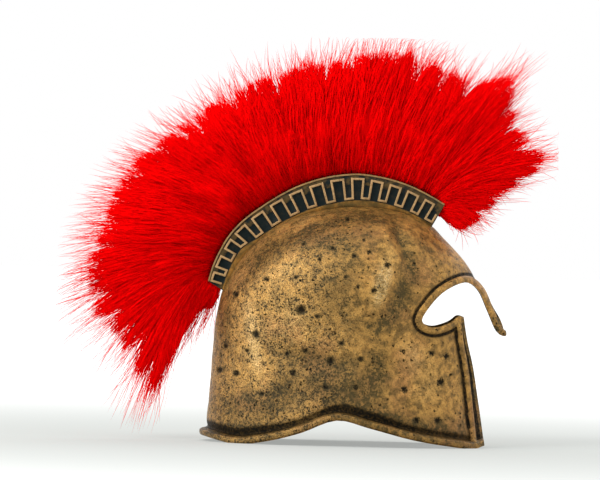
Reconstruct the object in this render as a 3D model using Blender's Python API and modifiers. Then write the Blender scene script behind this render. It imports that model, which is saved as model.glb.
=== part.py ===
"""Corinthian helmet: a hollow bronze shell with nasal and cheek pieces, a meander crest rail and a fur plume.

Metres, +Z up, +X towards the face, symmetric about y = 0. The rim stands on z = 0 at the rear and at both
cheek tips, and the origin lies on that plane under the middle of the whole helmet.
"""
import math

import bmesh
import bpy
from mathutils import Vector

# Shell
WALL = 0.0028
BORDER_WIDTH = 0.0065
BORDER_RISE = 0.0013
RIM_FLARE = 0.0034
RIM_FLARE_FULL = 0.0050
RIM_FLARE_END = 0.0105
FRONT_TURN_IN = 0.0050
FRONT_TURN_REACH = 0.0280
FRONT_TURN_FADE = 0.020
CHEEK_COLUMNS = 19
FACE_COLUMNS = 5
COLUMN_PAST_EDGE = 0.0015

# Crest rail
RAIL_GROUND_HALF = 0.0150
RAIL_BEAD_HALF = 0.0165
RAIL_BEAD_WIDTH = 0.0020
RAIL_BEAD_STEP = 0.0004
RAIL_FOOT_HALF = 0.0162
RAIL_SINK = 0.0340
RAIL_SINK_EXTRA = 0.0100
RAIL_REAR_SLANT = 0.26
MEANDER_HALF = 0.0166
MEANDER_LINE = 0.0023
MEANDER_FOOT_SPACE = 0.0022
TOOTH_SHARE = 0.57
LAST_LEG_SHARE = 0.45
CHANNEL_HALF = 0.0093
CHANNEL_DEPTH = 0.0060
RAIL_STEPS = 40

# The helmet is drawn with its rear at x < 0 and moved so that the origin is under its middle
PLACE_X = 0.0154

# Plume
HAIR_BEND = 0.34
PLUME_LOCKS = 30
LOCK_UNEVENNESS = 0.045
UNEVEN_BY_COLUMN = 2.4
UNEVEN_BY_ROW = 1.7

# Fits and cutters
GAP = 0.0003
CUT_BEYOND = 0.030
SIDE_REACH = 0.145
MERGE = 0.00002
FLAT_ANGLE = 0.002

# Steps that read a slope or a length off a curve
TURN_STEP = 0.004
RISE_STEP = 0.0008
ROW_STEP = 0.02
ROW_SAMPLES = 24
BISECTIONS = 26
NEARLY_PARALLEL = 0.001

# Outer surface on level sections, a row for each from the rim to the crown: height, rear end, widest place
# and front end along x, half width, and the fullness of the rear and front halves, where 0.5 is an ellipse
# and 1.0 runs to a keel on the centre line
SECTIONS = (
    # height, rear, widest, front, half_width, rear_fullness, front_fullness
    (-0.006, -0.1135, 0.036, 0.1880, 0.1010, 0.46, 0.90),
    (0.030, -0.1100, 0.034, 0.1870, 0.0970, 0.46, 0.92),
    (0.058, -0.1078, 0.030, 0.1865, 0.0940, 0.47, 0.96),
    (0.088, -0.1063, 0.028, 0.1870, 0.0925, 0.47, 1.00),
    (0.114, -0.1047, 0.025, 0.1858, 0.0940, 0.48, 1.00),
    (0.127, -0.1030, 0.023, 0.1815, 0.0958, 0.48, 0.96),
    (0.139, -0.1008, 0.021, 0.1750, 0.0978, 0.48, 0.87),
    (0.151, -0.0978, 0.020, 0.1680, 0.0992, 0.49, 0.77),
    (0.162, -0.0928, 0.020, 0.1600, 0.0993, 0.49, 0.68),
    (0.174, -0.0865, 0.022, 0.1512, 0.0975, 0.50, 0.60),
    (0.186, -0.0780, 0.024, 0.1426, 0.0935, 0.50, 0.55),
    (0.198, -0.0675, 0.027, 0.1316, 0.0875, 0.50, 0.52),
    (0.209, -0.0565, 0.031, 0.1205, 0.0790, 0.50, 0.50),
    (0.219, -0.0420, 0.034, 0.1105, 0.0665, 0.50, 0.50),
    (0.227, -0.0235, 0.038, 0.0970, 0.0520, 0.50, 0.50),
    (0.2332, -0.0030, 0.041, 0.0810, 0.0345, 0.50, 0.50),
    (0.2372, 0.0220, 0.043, 0.0625, 0.0165, 0.50, 0.50),
    (0.2386, 0.0440, 0.044, 0.0440, 0.0000, 0.50, 0.50),
)

# Rows of the shell's mesh, by height above the rim's edge, with a fine set through the flared rim
SKIN_ROWS = (0.0020, 0.0050, 0.0078, 0.0106, 0.019, 0.034, 0.051, 0.068, 0.085, 0.101, 0.115,
             0.128, 0.140, 0.151, 0.162, 0.173, 0.184, 0.195, 0.205, 0.214, 0.222, 0.229, 0.2345, 0.2374)
RIM_FADE = 0.090
SKIN_LOWEST = -0.0025
BORDER_LOWEST = -0.0015

# Dents and bulges seen on the side: place along x and z, radii along and across, slope, depth (bulges < 0)
DENTS = (
    # x, z, long_radius, short_radius, slope_deg, depth
    (0.082, 0.192, 0.027, 0.0080, -67.0, 0.0032),
    (0.082, 0.158, 0.014, 0.0070, -80.0, 0.0026),
    (0.060, 0.165, 0.017, 0.0120, -70.0, -0.0020),
    (0.055, 0.124, 0.018, 0.0080, 45.0, 0.0018),
    (0.064, 0.070, 0.020, 0.0090, -80.0, 0.0014),
    (0.003, 0.085, 0.030, 0.0110, -10.0, 0.0024),
    (-0.062, 0.120, 0.045, 0.0150, 85.0, -0.0012),
)

# Side outline: the rim's lower edge from rear to cheek tip, an arch between two feet on the floor
RIM_EDGE = (
    # x, z
    (-0.130, 0.0085),
    (-0.112, 0.0052),
    (-0.080, -0.0008),
    (-0.048, 0.0036),
    (-0.016, 0.0125),
    (0.0187, 0.0257),
    (0.052, 0.0186),
    (0.095, 0.0078),
    (0.135, 0.0014),
    (0.155, -0.0007),
    (0.167, 0.0028),
)

# Front edge of the cheek piece from its tip up to its top corner
CHEEK_EDGE = (
    # x, z
    (0.1670, 0.0028),
    (0.1608, 0.0400),
    (0.1540, 0.0790),
    (0.1475, 0.1050),
    (0.1428, 0.1304),
)

# Eye opening from the cheek's top corner round its rear corner, under the brow and down the nasal
EYE_EDGE = (
    # x, z
    (0.1428, 0.1304),
    (0.1372, 0.1306),
    (0.1290, 0.1243),
    (0.1137, 0.1193),
    (0.1020, 0.1235),
    (0.1034, 0.1328),
    (0.1205, 0.1535),
    (0.1432, 0.1644),
    (0.1571, 0.1568),
    (0.1668, 0.1371),
    (0.1750, 0.1189),
    (0.1802, 0.1130),
)
NASAL_TIP = (0.1836, 0.1116)
CLEAR_FRONT = 0.215

# Outer arc of the crest rail from rear to front, with the meander's distance from it and its height
RAIL_ARC = (
    # x, z, margin, tooth
    (-0.1122, 0.1590, 0.0028, 0.0107),
    (-0.1065, 0.1782, 0.0035, 0.0110),
    (-0.0950, 0.2015, 0.0037, 0.0120),
    (-0.0800, 0.2196, 0.0045, 0.0165),
    (-0.0596, 0.2356, 0.0045, 0.0172),
    (-0.0370, 0.2500, 0.0047, 0.0185),
    (-0.0182, 0.2588, 0.0050, 0.0190),
    (0.0060, 0.2662, 0.0048, 0.0200),
    (0.0322, 0.2696, 0.0046, 0.0195),
    (0.0550, 0.2676, 0.0054, 0.0178),
    (0.0790, 0.2618, 0.0055, 0.0170),
    (0.1004, 0.2532, 0.0060, 0.0162),
    (0.1216, 0.2416, 0.0052, 0.0165),
)

# Where each tooth of the meander starts along the rail's arc, charted by hand as its pitch is uneven
TOOTH_STARTS = (0.0015, 0.0165, 0.0370, 0.0560, 0.0790, 0.1020, 0.1245, 0.1470, 0.1695, 0.1910, 0.2120,
                0.2315, 0.2510, 0.2710)

# Hair directions from the rear end of the rail to its front end: where the hair leaves the rail, as a share
# of its length, where it ends, and how full the plume is there
PLUME_FAN = (
    # station, tip_x, tip_z, fullness
    (0.008, -0.114, 0.121, 0.26),
    (0.015, -0.137, 0.100, 0.40),
    (0.024, -0.169, 0.048, 0.55),
    (0.034, -0.200, 0.080, 0.70),
    (0.055, -0.236, 0.128, 0.84),
    (0.100, -0.238, 0.172, 0.94),
    (0.170, -0.219, 0.223, 1.00),
    (0.250, -0.191, 0.274, 1.00),
    (0.350, -0.132, 0.324, 1.00),
    (0.460, -0.067, 0.362, 1.00),
    (0.570, 0.003, 0.381, 1.00),
    (0.680, 0.058, 0.393, 1.00),
    (0.780, 0.108, 0.380, 1.00),
    (0.870, 0.152, 0.364, 0.96),
    (0.925, 0.188, 0.372, 0.90),
    (0.950, 0.190, 0.325, 0.84),
    (0.968, 0.222, 0.292, 0.76),
    (0.978, 0.186, 0.257, 0.62),
    (0.986, 0.156, 0.226, 0.44),
    (0.993, 0.133, 0.217, 0.26),
)

# Section of the plume from the rail out to the tips, left half: how far out a valley between two rows of
# locks lies, the half thickness there, and the same of the lock that starts above it
PLUME_SECTION = (
    # valley_reach, valley_half, lock_reach, lock_half
    (0.14, 0.0210, 0.50, 0.0350),
    (0.38, 0.0290, 0.76, 0.0330),
    (0.63, 0.0250, 0.95, 0.0220),
    (0.85, 0.0120, 1.00, 0.0000),
)
RAIL_CLEARANCE = 0.0008


def blend_rows(rows, position):
    """Values at a fractional row number, read from a smooth curve through the rows."""
    start = min(max(int(position), 0), len(rows) - 2)
    t = position - start
    p1 = rows[start]
    p2 = rows[start + 1]
    p0 = rows[start - 1] if start > 0 else [2 * a - b for a, b in zip(p1, p2)]
    p3 = rows[start + 2] if start + 2 < len(rows) else [2 * b - a for a, b in zip(p1, p2)]
    return [0.5 * (2 * b + (c - a) * t + (2 * a - 5 * b + 4 * c - d) * t ** 2
                   + (3 * b - a - 3 * c + d) * t ** 3)
            for a, b, c, d in zip(p0, p1, p2, p3)]


def row_at(rows, key):
    """Values where the first column, which rises all the way, reaches the key."""
    low = 0.0
    high = float(len(rows) - 1)
    for _ in range(BISECTIONS):
        middle = (low + high) / 2
        if blend_rows(rows, middle)[0] < key:
            low = middle
        else:
            high = middle
    return blend_rows(rows, low)


def smooth_path(rows, steps):
    """Points (x, z) along the smooth curve through the rows, with the given steps in each span."""
    count = (len(rows) - 1) * steps
    return [tuple(blend_rows(rows, index / steps)[:2]) for index in range(count + 1)]


def smoothstep(low, high, value):
    """0 below low, 1 above high and a smooth ramp between."""
    t = min(max((value - low) / (high - low), 0.0), 1.0)
    return t * t * (3 - 2 * t)


def crossing(line_a, line_b):
    """Where two lines (point, direction) meet, or the first one's point where they run nearly parallel."""
    (point_a, along_a), (point_b, along_b) = line_a, line_b
    turn = along_a.cross(along_b)
    if abs(turn) < NEARLY_PARALLEL:
        return point_b
    return point_a + along_a * (point_b - point_a).cross(along_b) / turn


def offset_path(path, distance):
    """The path moved to its left by the distance, with mitred corners and no stretch turned back."""
    points = [Vector(point) for point in path]
    lines = []
    for here, after in zip(points, points[1:]):
        along = (after - here).normalized()
        left = Vector((-along.y, along.x)) * distance
        lines.append((here + left, along, after + left))
    while True:
        corners = [crossing(before[:2], after[:2]) for before, after in zip(lines, lines[1:])]
        moved = [lines[0][0]] + corners + [lines[-1][2]]
        kept = [line for line, start, end in zip(lines, moved, moved[1:]) if (end - start).dot(line[1]) > 0]
        if len(kept) == len(lines):
            return [tuple(point) for point in moved]
        lines = kept


def new_collection(name):
    """A collection linked to the scene."""
    collection = bpy.data.collections.new(name)
    bpy.context.scene.collection.children.link(collection)
    return collection


def new_material(name, colour, roughness, metallic):
    """A plain Principled material."""
    material = bpy.data.materials.new(name)
    material.use_nodes = True
    shader = material.node_tree.nodes["Principled BSDF"]
    shader.inputs["Base Color"].default_value = (*colour, 1.0)
    shader.inputs["Roughness"].default_value = roughness
    shader.inputs["Metallic"].default_value = metallic
    return material


def new_object(name, mesh, collection, cutter=False):
    """An object of the mesh, drawn as a wire and left out of renders where it only cuts or joins."""
    item = bpy.data.objects.new(name, mesh)
    item.location.x = PLACE_X
    collection.objects.link(item)
    if cutter:
        item.hide_render = True
        item.display_type = "WIRE"
    return item


def prism(name, outline, half_depth, collection, cutter=True):
    """A closed prism with a side outline (x, z), reaching half_depth to each side of y = 0."""
    curve = bpy.data.curves.new(name, "CURVE")
    curve.dimensions = "2D"
    curve.fill_mode = "BOTH"
    curve.extrude = half_depth
    line = curve.splines.new("POLY")
    line.points.add(len(outline) - 1)
    for point, (x, z) in zip(line.points, outline):
        point.co = (x, z, 0.0, 1.0)
    line.use_cyclic_u = True
    flat = bpy.data.objects.new(name + "_curve", curve)
    flat.rotation_euler = (math.radians(90), 0.0, 0.0)
    collection.objects.link(flat)
    bpy.context.view_layer.update()
    evaluated = flat.evaluated_get(bpy.context.evaluated_depsgraph_get())
    mesh = bpy.data.meshes.new_from_object(evaluated)
    mesh.name = name
    mesh.transform(flat.matrix_world)
    shape = bmesh.new()
    shape.from_mesh(mesh)
    bmesh.ops.remove_doubles(shape, verts=shape.verts, dist=MERGE)
    bmesh.ops.dissolve_limit(shape, angle_limit=FLAT_ANGLE, verts=shape.verts, edges=shape.edges)
    bmesh.ops.recalc_face_normals(shape, faces=shape.faces)
    shape.to_mesh(mesh)
    shape.free()
    bpy.data.objects.remove(flat)
    bpy.data.curves.remove(curve)
    return new_object(name, mesh, collection, cutter)


def add_boolean(item, operation, other):
    """A Boolean modifier with the other object."""
    boolean = item.modifiers.new(operation.lower() + "_" + other.name, "BOOLEAN")
    boolean.operation = operation
    boolean.object = other


def add_mirror(item):
    """A mirror over y = 0."""
    mirror = item.modifiers.new("mirror", "MIRROR")
    mirror.use_axis = (False, True, False)
    mirror.merge_threshold = MERGE


def add_wall(item, thickness, offset):
    """A wall on the surface: offset -1 grows inwards, 0 to both sides."""
    wall = item.modifiers.new("wall", "SOLIDIFY")
    wall.thickness = thickness
    wall.offset = offset
    wall.use_even_offset = True


def shade(item, angle_deg):
    """Smooth shading with sharp edges over the angle."""
    item.data.shade_smooth()
    item.data.set_sharp_from_angle(angle=math.radians(angle_deg))


def rim_height(x):
    """Height of the rim's lower edge at x."""
    return row_at(RIM_EDGE, min(max(x, RIM_EDGE[0][0]), RIM_EDGE[-1][0]))[1]


def cheek_edge_x(height):
    """Where the cheek piece's front edge lies along x at a height."""
    return row_at([(z, x) for x, z in CHEEK_EDGE], height)[1]


def column_turns(height):
    """Turns of the mesh's columns, one of which runs just in front of the cheek piece's front edge.

    The step to the front centre line is a double one, so that the wall has room behind the keel.
    """
    level = min(max(height, 0.0), CHEEK_EDGE[-1][1])
    _, _, widest, front, _, _, _ = row_at(SECTIONS, level)
    along = (cheek_edge_x(level) + COLUMN_PAST_EDGE - widest) / (front - widest)
    edge_turn = math.acos(-along) / math.pi
    behind = [edge_turn * column / CHEEK_COLUMNS for column in range(CHEEK_COLUMNS + 1)]
    ahead = [edge_turn + (1 - edge_turn) * column / FACE_COLUMNS for column in range(1, FACE_COLUMNS - 1)]
    return behind + ahead + [1.0]


def section_point(height, turn):
    """Point of the smooth outer surface: turn 0 is the rear centre line, 1 the front one, y is positive."""
    values = row_at(SECTIONS, height)
    rear, widest, front, half_width, rear_fullness, front_fullness = values[1:]
    along = -math.cos(math.pi * turn)
    across = max(math.sin(math.pi * turn), 0.0)
    if along < 0:
        return Vector((widest + along * (widest - rear), half_width * across ** (2 * rear_fullness), height))
    return Vector((widest + along * (front - widest), half_width * across ** (2 * front_fullness), height))


def outward(height, turn):
    """Unit normal of the smooth outer surface."""
    level = min(height, SECTIONS[-1][0] - RISE_STEP)
    place = min(max(turn, TURN_STEP), 1 - TURN_STEP)
    around = section_point(level, place + TURN_STEP) - section_point(level, place - TURN_STEP)
    upward = section_point(level + RISE_STEP, place) - section_point(level - RISE_STEP, place)
    return upward.cross(around).normalized()


def dent_depth(x, z):
    """How far the dents push the surface in at a place seen from the side."""
    depth = 0.0
    for dent_x, dent_z, long_radius, short_radius, slope_deg, amount in DENTS:
        slope = math.radians(slope_deg)
        along = (x - dent_x) * math.cos(slope) + (z - dent_z) * math.sin(slope)
        across = (z - dent_z) * math.cos(slope) - (x - dent_x) * math.sin(slope)
        depth += amount * math.exp(-(along / long_radius) ** 2 - (across / short_radius) ** 2)
    return depth


def skin_point(reach, turn, lift):
    """Point of the finished outer surface, lifted off it, at a height above the rim's edge."""
    fade = max(1 - max(reach, 0.0) / RIM_FADE, 0.0) ** 2
    height = reach
    for _ in range(2):
        height = reach + rim_height(section_point(height, turn).x) * fade
    point = section_point(height, turn)
    above_rim = height - rim_height(point.x)
    push = lift - dent_depth(point.x, point.z)
    push += RIM_FLARE * (1 - smoothstep(RIM_FLARE_FULL, RIM_FLARE_END, above_rim))
    point += outward(height, turn) * push
    cheek_top = CHEEK_EDGE[-1][1]
    if height < cheek_top + FRONT_TURN_FADE:
        behind_edge = cheek_edge_x(height) - point.x
        turned = FRONT_TURN_IN * (1 - smoothstep(0.0, FRONT_TURN_REACH, behind_edge))
        turned *= 1 - smoothstep(cheek_top, cheek_top + FRONT_TURN_FADE, height)
        point.y -= turned * smoothstep(0.0, FRONT_TURN_FADE, point.y)
    if turn in (0.0, 1.0):
        point.y = 0.0
    return point


def skin_mesh(name, lift, lowest, closed_below=False):
    """Left half of the outer surface as an open grid with the crown as one point."""
    shape = bmesh.new()
    grid = [[shape.verts.new(skin_point(reach, turn, lift)) for turn in column_turns(reach)]
            for reach in (lowest,) + SKIN_ROWS]
    crown = shape.verts.new((SECTIONS[-1][1], 0.0, SECTIONS[-1][0] + lift))
    strips = range(len(grid[0]) - 1)
    for lower, upper in zip(grid, grid[1:]):
        for column in strips:
            shape.faces.new((lower[column], upper[column], upper[column + 1], lower[column + 1]))
    for column in strips:
        shape.faces.new((grid[-1][column], crown, grid[-1][column + 1]))
    if closed_below:
        shape.faces.new(grid[0])
    mesh = bpy.data.meshes.new(name)
    shape.to_mesh(mesh)
    shape.free()
    return mesh


def material_edge():
    """Side view path along the shell's free edge, with the metal on its left: rim, cheek, eye, nasal tip."""
    rim = [(x, max(z, 0.0)) for x, z in smooth_path(RIM_EDGE, 4)]
    cheek = smooth_path(CHEEK_EDGE, 3)[1:]
    eye = smooth_path(EYE_EDGE, 3)[1:]
    return rim + cheek + eye + [NASAL_TIP, (CLEAR_FRONT, NASAL_TIP[1])]


def make_shell(parts, helpers, material):
    """Bowl, neck guard, cheek pieces and nasal in one wall, with a raised border along the free edge."""
    edge = material_edge()
    rear_x = edge[0][0]
    top = SECTIONS[-1][0] + CUT_BEYOND
    opening = prism("face_and_rim_cutter",
                    edge + [(CLEAR_FRONT, -CUT_BEYOND), (rear_x, -CUT_BEYOND)], SIDE_REACH, helpers)
    inner = offset_path(edge, BORDER_WIDTH)
    field = prism("inner_field_cutter",
                  inner + [(CLEAR_FRONT, top), (rear_x, top)], SIDE_REACH, helpers)

    border = new_object("border_layer", skin_mesh("border_layer", 0.0, BORDER_LOWEST), helpers, cutter=True)
    add_mirror(border)
    add_wall(border, 2 * BORDER_RISE, 0.0)
    add_boolean(border, "DIFFERENCE", field)

    shell = new_object("shell", skin_mesh("shell", 0.0, SKIN_LOWEST), parts)
    shell.data.materials.append(material)
    add_mirror(shell)
    add_wall(shell, WALL, -1.0)
    add_boolean(shell, "UNION", border)
    add_boolean(shell, "DIFFERENCE", opening)
    shade(shell, 30)
    return shell


def rail_length_table():
    """Arc length of the rail at many fractional row numbers."""
    table = [(0.0, 0.0)]
    before = Vector(blend_rows(RAIL_ARC, 0.0)[:2])
    for index in range(1, (len(RAIL_ARC) - 1) * ROW_SAMPLES + 1):
        position = index / ROW_SAMPLES
        here = Vector(blend_rows(RAIL_ARC, position)[:2])
        table.append((table[-1][0] + (here - before).length, position))
        before = here
    return table


RAIL_LENGTHS = rail_length_table()
RAIL_LENGTH = RAIL_LENGTHS[-1][0]


def rail_frame(distance):
    """Point of the rail's outer arc at a distance along it, the inward normal, and its row values."""
    beyond = distance - min(max(distance, 0.0), RAIL_LENGTH)
    distance -= beyond
    index = 1
    while RAIL_LENGTHS[index][0] < distance and index < len(RAIL_LENGTHS) - 1:
        index += 1
    (near, near_row), (far, far_row) = RAIL_LENGTHS[index - 1], RAIL_LENGTHS[index]
    position = near_row + (far_row - near_row) * (distance - near) / (far - near)
    values = blend_rows(RAIL_ARC, position)
    ahead = Vector(blend_rows(RAIL_ARC, position + ROW_STEP)[:2])
    behind = Vector(blend_rows(RAIL_ARC, position - ROW_STEP)[:2])
    along = (ahead - behind).normalized()
    return Vector(values[:2]) + along * beyond, Vector((along.y, -along.x)), values


def rail_point(distance, inward):
    """Side view point at a depth below the rail's outer arc."""
    point, normal, _ = rail_frame(distance)
    return tuple(point + normal * inward)


def rail_band(top_depth, bottom_depth, inset):
    """Side outline between two depths below the rail's outer arc, inset from its ends, the rear one slanted."""
    outline = []
    for depth, shares in ((top_depth, range(RAIL_STEPS + 1)), (bottom_depth, range(RAIL_STEPS, -1, -1))):
        start = inset - RAIL_REAR_SLANT * max(depth(0.0), 0.0)
        length = RAIL_LENGTH - inset - start
        for share in shares:
            place = start + length * share / RAIL_STEPS
            outline.append(rail_point(place, depth(place)))
    return outline


def meander_outline():
    """Side outline of the meander's line: a square wave along the rail, thickened to both sides."""
    centre = []
    ends = list(TOOTH_STARTS) + [RAIL_LENGTH - MEANDER_LINE]
    for start, following in zip(ends, ends[1:]):
        close = start + (following - start) * TOOTH_SHARE
        for place, share in ((start, 1), (start, 0), (close, 0), (close, 1)):
            values = rail_frame(place)[2]
            centre.append(rail_point(place, values[2] + share * values[3]))
    values = rail_frame(ends[-1])[2]
    centre.append(rail_point(ends[-1], values[2] + values[3]))
    centre.append(rail_point(ends[-1], values[2] + values[3] * LAST_LEG_SHARE))
    return offset_path(centre, MEANDER_LINE / 2) + offset_path(centre, -MEANDER_LINE / 2)[::-1]


def make_rail(parts, helpers, material):
    """Curved crest rail seated astride the bowl, its meander raised on both sides, grooved for the plume."""
    def sink(place):
        return RAIL_SINK + RAIL_SINK_EXTRA * math.sin(math.pi * place / RAIL_LENGTH)

    def foot_top(place):
        values = rail_frame(place)[2]
        return values[2] + values[3] + MEANDER_FOOT_SPACE

    body = prism("crest_rail", rail_band(lambda place: 0.0, sink, 0.0), RAIL_GROUND_HALF, parts, cutter=False)
    body.data.materials.append(material)
    bead = prism("rail_bead", rail_band(lambda place: -RAIL_BEAD_STEP, lambda place: RAIL_BEAD_WIDTH,
                                        RAIL_BEAD_STEP), RAIL_BEAD_HALF, helpers)
    foot = prism("rail_foot", rail_band(foot_top, lambda place: sink(place) - RAIL_BEAD_STEP,
                                        2 * RAIL_BEAD_STEP), RAIL_FOOT_HALF, helpers)
    meander = prism("rail_meander", meander_outline(), MEANDER_HALF, helpers)
    channel = prism("rail_channel", rail_band(lambda place: -CHANNEL_DEPTH, lambda place: CHANNEL_DEPTH,
                                              -CHANNEL_DEPTH), CHANNEL_HALF, helpers)
    bowl = new_object("bowl_clearance", skin_mesh("bowl_clearance", GAP, SKIN_LOWEST, True), helpers, cutter=True)
    add_mirror(bowl)
    for piece in (bead, foot, meander):
        add_boolean(body, "UNION", piece)
    add_boolean(body, "DIFFERENCE", channel)
    add_boolean(body, "DIFFERENCE", bowl)
    shade(body, 30)
    return body


def hair_point(station, tip, bend, reach):
    """Side view point along a hair that leaves the rail square to its arc and bends towards its tip."""
    root, normal, _ = rail_frame(station * RAIL_LENGTH)
    root = root - normal * RAIL_CLEARANCE
    tip = Vector(tip)
    control = root - normal * bend * (tip - root).length
    return root * (1 - reach) ** 2 + control * 2 * reach * (1 - reach) + tip * reach ** 2


def plume_column(index):
    """Points of one column of the plume's grid, from the left root over the tips to the right root."""
    last = 2 * PLUME_LOCKS
    station, tip_x, tip_z, fullness = blend_rows(PLUME_FAN, index / last * (len(PLUME_FAN) - 1))
    tip = (tip_x, tip_z)
    bend = HAIR_BEND * fullness
    root_half = CHANNEL_HALF - GAP
    root, normal, _ = rail_frame(station * RAIL_LENGTH)
    floor = root + normal * (CHANNEL_DEPTH - GAP)
    edge = root - normal * RAIL_CLEARANCE
    left = [(floor, root_half), (edge, root_half)]
    for row, (valley_reach, valley_half, lock_reach, lock_half) in enumerate(PLUME_SECTION):
        left.append((hair_point(station, tip, bend, valley_reach), valley_half * fullness))
        next_valley = PLUME_SECTION[row + 1] if row + 1 < len(PLUME_SECTION) else (1.0, 0.0)
        reach = (valley_reach + next_valley[0]) / 2
        half = (valley_half + next_valley[1]) / 2
        if (index + row) % 2 and 0 < index < last:
            uneven = 1 + LOCK_UNEVENNESS * math.sin(UNEVEN_BY_COLUMN * index + UNEVEN_BY_ROW * row)
            reach += (lock_reach * uneven - reach) * fullness ** 2
            half = lock_half
        left.append((hair_point(station, tip, bend, reach), half * fullness))
    right = [(point, -half) for point, half in left[:-1]]
    return [Vector((point.x, half, point.y)) for point, half in left + right[::-1]]


def make_plume(parts, material):
    """Long fur as one closed body: a strip in the rail's channel that opens into rows of pointed locks."""
    shape = bmesh.new()
    columns = [[shape.verts.new(point) for point in plume_column(index)]
               for index in range(2 * PLUME_LOCKS + 1)]
    count = len(columns[0])
    for near, far in zip(columns, columns[1:]):
        for row in range(count):
            following = (row + 1) % count
            shape.faces.new((near[row], near[following], far[following], far[row]))
    for column in (columns[0], columns[-1]):
        for row in range(count // 2):
            opposite = count - 1 - row
            corners = [column[row], column[row + 1], column[opposite - 1], column[opposite]]
            shape.faces.new(list(dict.fromkeys(corners)))
    bmesh.ops.recalc_face_normals(shape, faces=shape.faces)
    mesh = bpy.data.meshes.new("plume")
    shape.to_mesh(mesh)
    shape.free()
    plume = new_object("plume", mesh, parts)
    plume.data.materials.append(material)
    return plume


def main():
    """Clears the scene and builds the helmet."""
    for item in list(bpy.data.objects):
        bpy.data.objects.remove(item)
    parts = new_collection("corinthian_helmet")
    helpers = new_collection("cutters")
    bronze = new_material("aged_bronze", (0.42, 0.25, 0.10), 0.45, 0.9)
    dark_bronze = new_material("dark_bronze", (0.20, 0.13, 0.06), 0.50, 0.8)
    fur = new_material("red_fur", (0.70, 0.004, 0.006), 0.80, 0.0)
    make_shell(parts, helpers, bronze)
    make_rail(parts, helpers, dark_bronze)
    make_plume(parts, fur)


main()
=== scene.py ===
"""Corinthian helmet: an aged bronze shell, a crest rail with a meander and a fanned red fur plume.

Metres, +Z up, +X towards the face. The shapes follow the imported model, which is loaded as a fixed frame.
"""
import math

import bmesh
import bpy
import numpy as np
from mathutils import Matrix, Vector, noise


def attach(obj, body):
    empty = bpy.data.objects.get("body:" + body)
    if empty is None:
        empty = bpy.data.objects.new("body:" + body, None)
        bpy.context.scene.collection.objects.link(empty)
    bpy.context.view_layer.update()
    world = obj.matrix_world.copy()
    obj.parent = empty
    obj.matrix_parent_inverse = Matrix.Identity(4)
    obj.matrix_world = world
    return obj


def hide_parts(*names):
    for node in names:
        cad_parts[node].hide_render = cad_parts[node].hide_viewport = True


bl_info = {
    "name": "Corinthian Helmet",
    "version": (1, 0, 0),
    "blender": (4, 5, 0),
    "location": "3D View > Sidebar > Helmet",
    "description": "Dresses a Corinthian helmet in aged bronze and red fur",
    "category": "Add Mesh",
}

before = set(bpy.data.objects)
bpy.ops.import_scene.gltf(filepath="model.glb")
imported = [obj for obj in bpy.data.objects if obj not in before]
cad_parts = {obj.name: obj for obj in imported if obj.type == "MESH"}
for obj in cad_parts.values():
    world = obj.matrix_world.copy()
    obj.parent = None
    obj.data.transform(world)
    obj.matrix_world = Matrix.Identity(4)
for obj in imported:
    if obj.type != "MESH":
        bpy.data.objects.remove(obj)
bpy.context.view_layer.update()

# Shell, as in the solid model: x runs from the rear to the face and is moved by PLACE_X at the end
PLACE_X = 0.0154
WALL = 0.0032
RIM_FLARE = 0.0034
RIM_FLARE_FULL = 0.0050
RIM_FLARE_END = 0.0105
FRONT_TURN_IN = 0.0050
FRONT_TURN_REACH = 0.0280
FRONT_TURN_FADE = 0.020
RIM_FADE = 0.090
COLUMN_PAST_EDGE = 0.0015
CHEEK_SHARE = 19 / 24
SIDE_REACH = 0.145
CUT_BEYOND = 0.030
CLEAR_FRONT = 0.215
MERGE = 0.00002
RIDGE_KEEP = 0.35
CURVE_SAMPLES = 24
SHELL_SMOOTH_DEG = 40.0
ROOM_MIDDLE = (0.03, 0.0, 0.10)

# Level sections of the outer surface from the rim to the crown: height, rear end, widest place and front
# end along x, half width, and the fullness of the rear and front halves, where 0.5 is an ellipse
SECTIONS = (
    # height, rear, widest, front, half_width, rear_fullness, front_fullness
    (-0.006, -0.1135, 0.036, 0.1880, 0.1010, 0.46, 0.90),
    (0.030, -0.1100, 0.034, 0.1870, 0.0970, 0.46, 0.92),
    (0.058, -0.1078, 0.030, 0.1865, 0.0940, 0.47, 0.96),
    (0.088, -0.1063, 0.028, 0.1870, 0.0925, 0.47, 1.00),
    (0.114, -0.1047, 0.025, 0.1858, 0.0940, 0.48, 1.00),
    (0.127, -0.1030, 0.023, 0.1815, 0.0958, 0.48, 0.96),
    (0.139, -0.1008, 0.021, 0.1750, 0.0978, 0.48, 0.87),
    (0.151, -0.0978, 0.020, 0.1680, 0.0992, 0.49, 0.77),
    (0.162, -0.0928, 0.020, 0.1600, 0.0993, 0.49, 0.68),
    (0.174, -0.0865, 0.022, 0.1512, 0.0975, 0.50, 0.60),
    (0.186, -0.0780, 0.024, 0.1426, 0.0935, 0.50, 0.55),
    (0.198, -0.0675, 0.027, 0.1316, 0.0875, 0.50, 0.52),
    (0.209, -0.0565, 0.031, 0.1205, 0.0790, 0.50, 0.50),
    (0.219, -0.0420, 0.034, 0.1105, 0.0665, 0.50, 0.50),
    (0.227, -0.0235, 0.038, 0.0970, 0.0520, 0.50, 0.50),
    (0.2332, -0.0030, 0.041, 0.0810, 0.0345, 0.50, 0.50),
    (0.2372, 0.0220, 0.043, 0.0625, 0.0165, 0.50, 0.50),
    (0.2386, 0.0440, 0.044, 0.0440, 0.0000, 0.50, 0.50),
)

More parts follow.
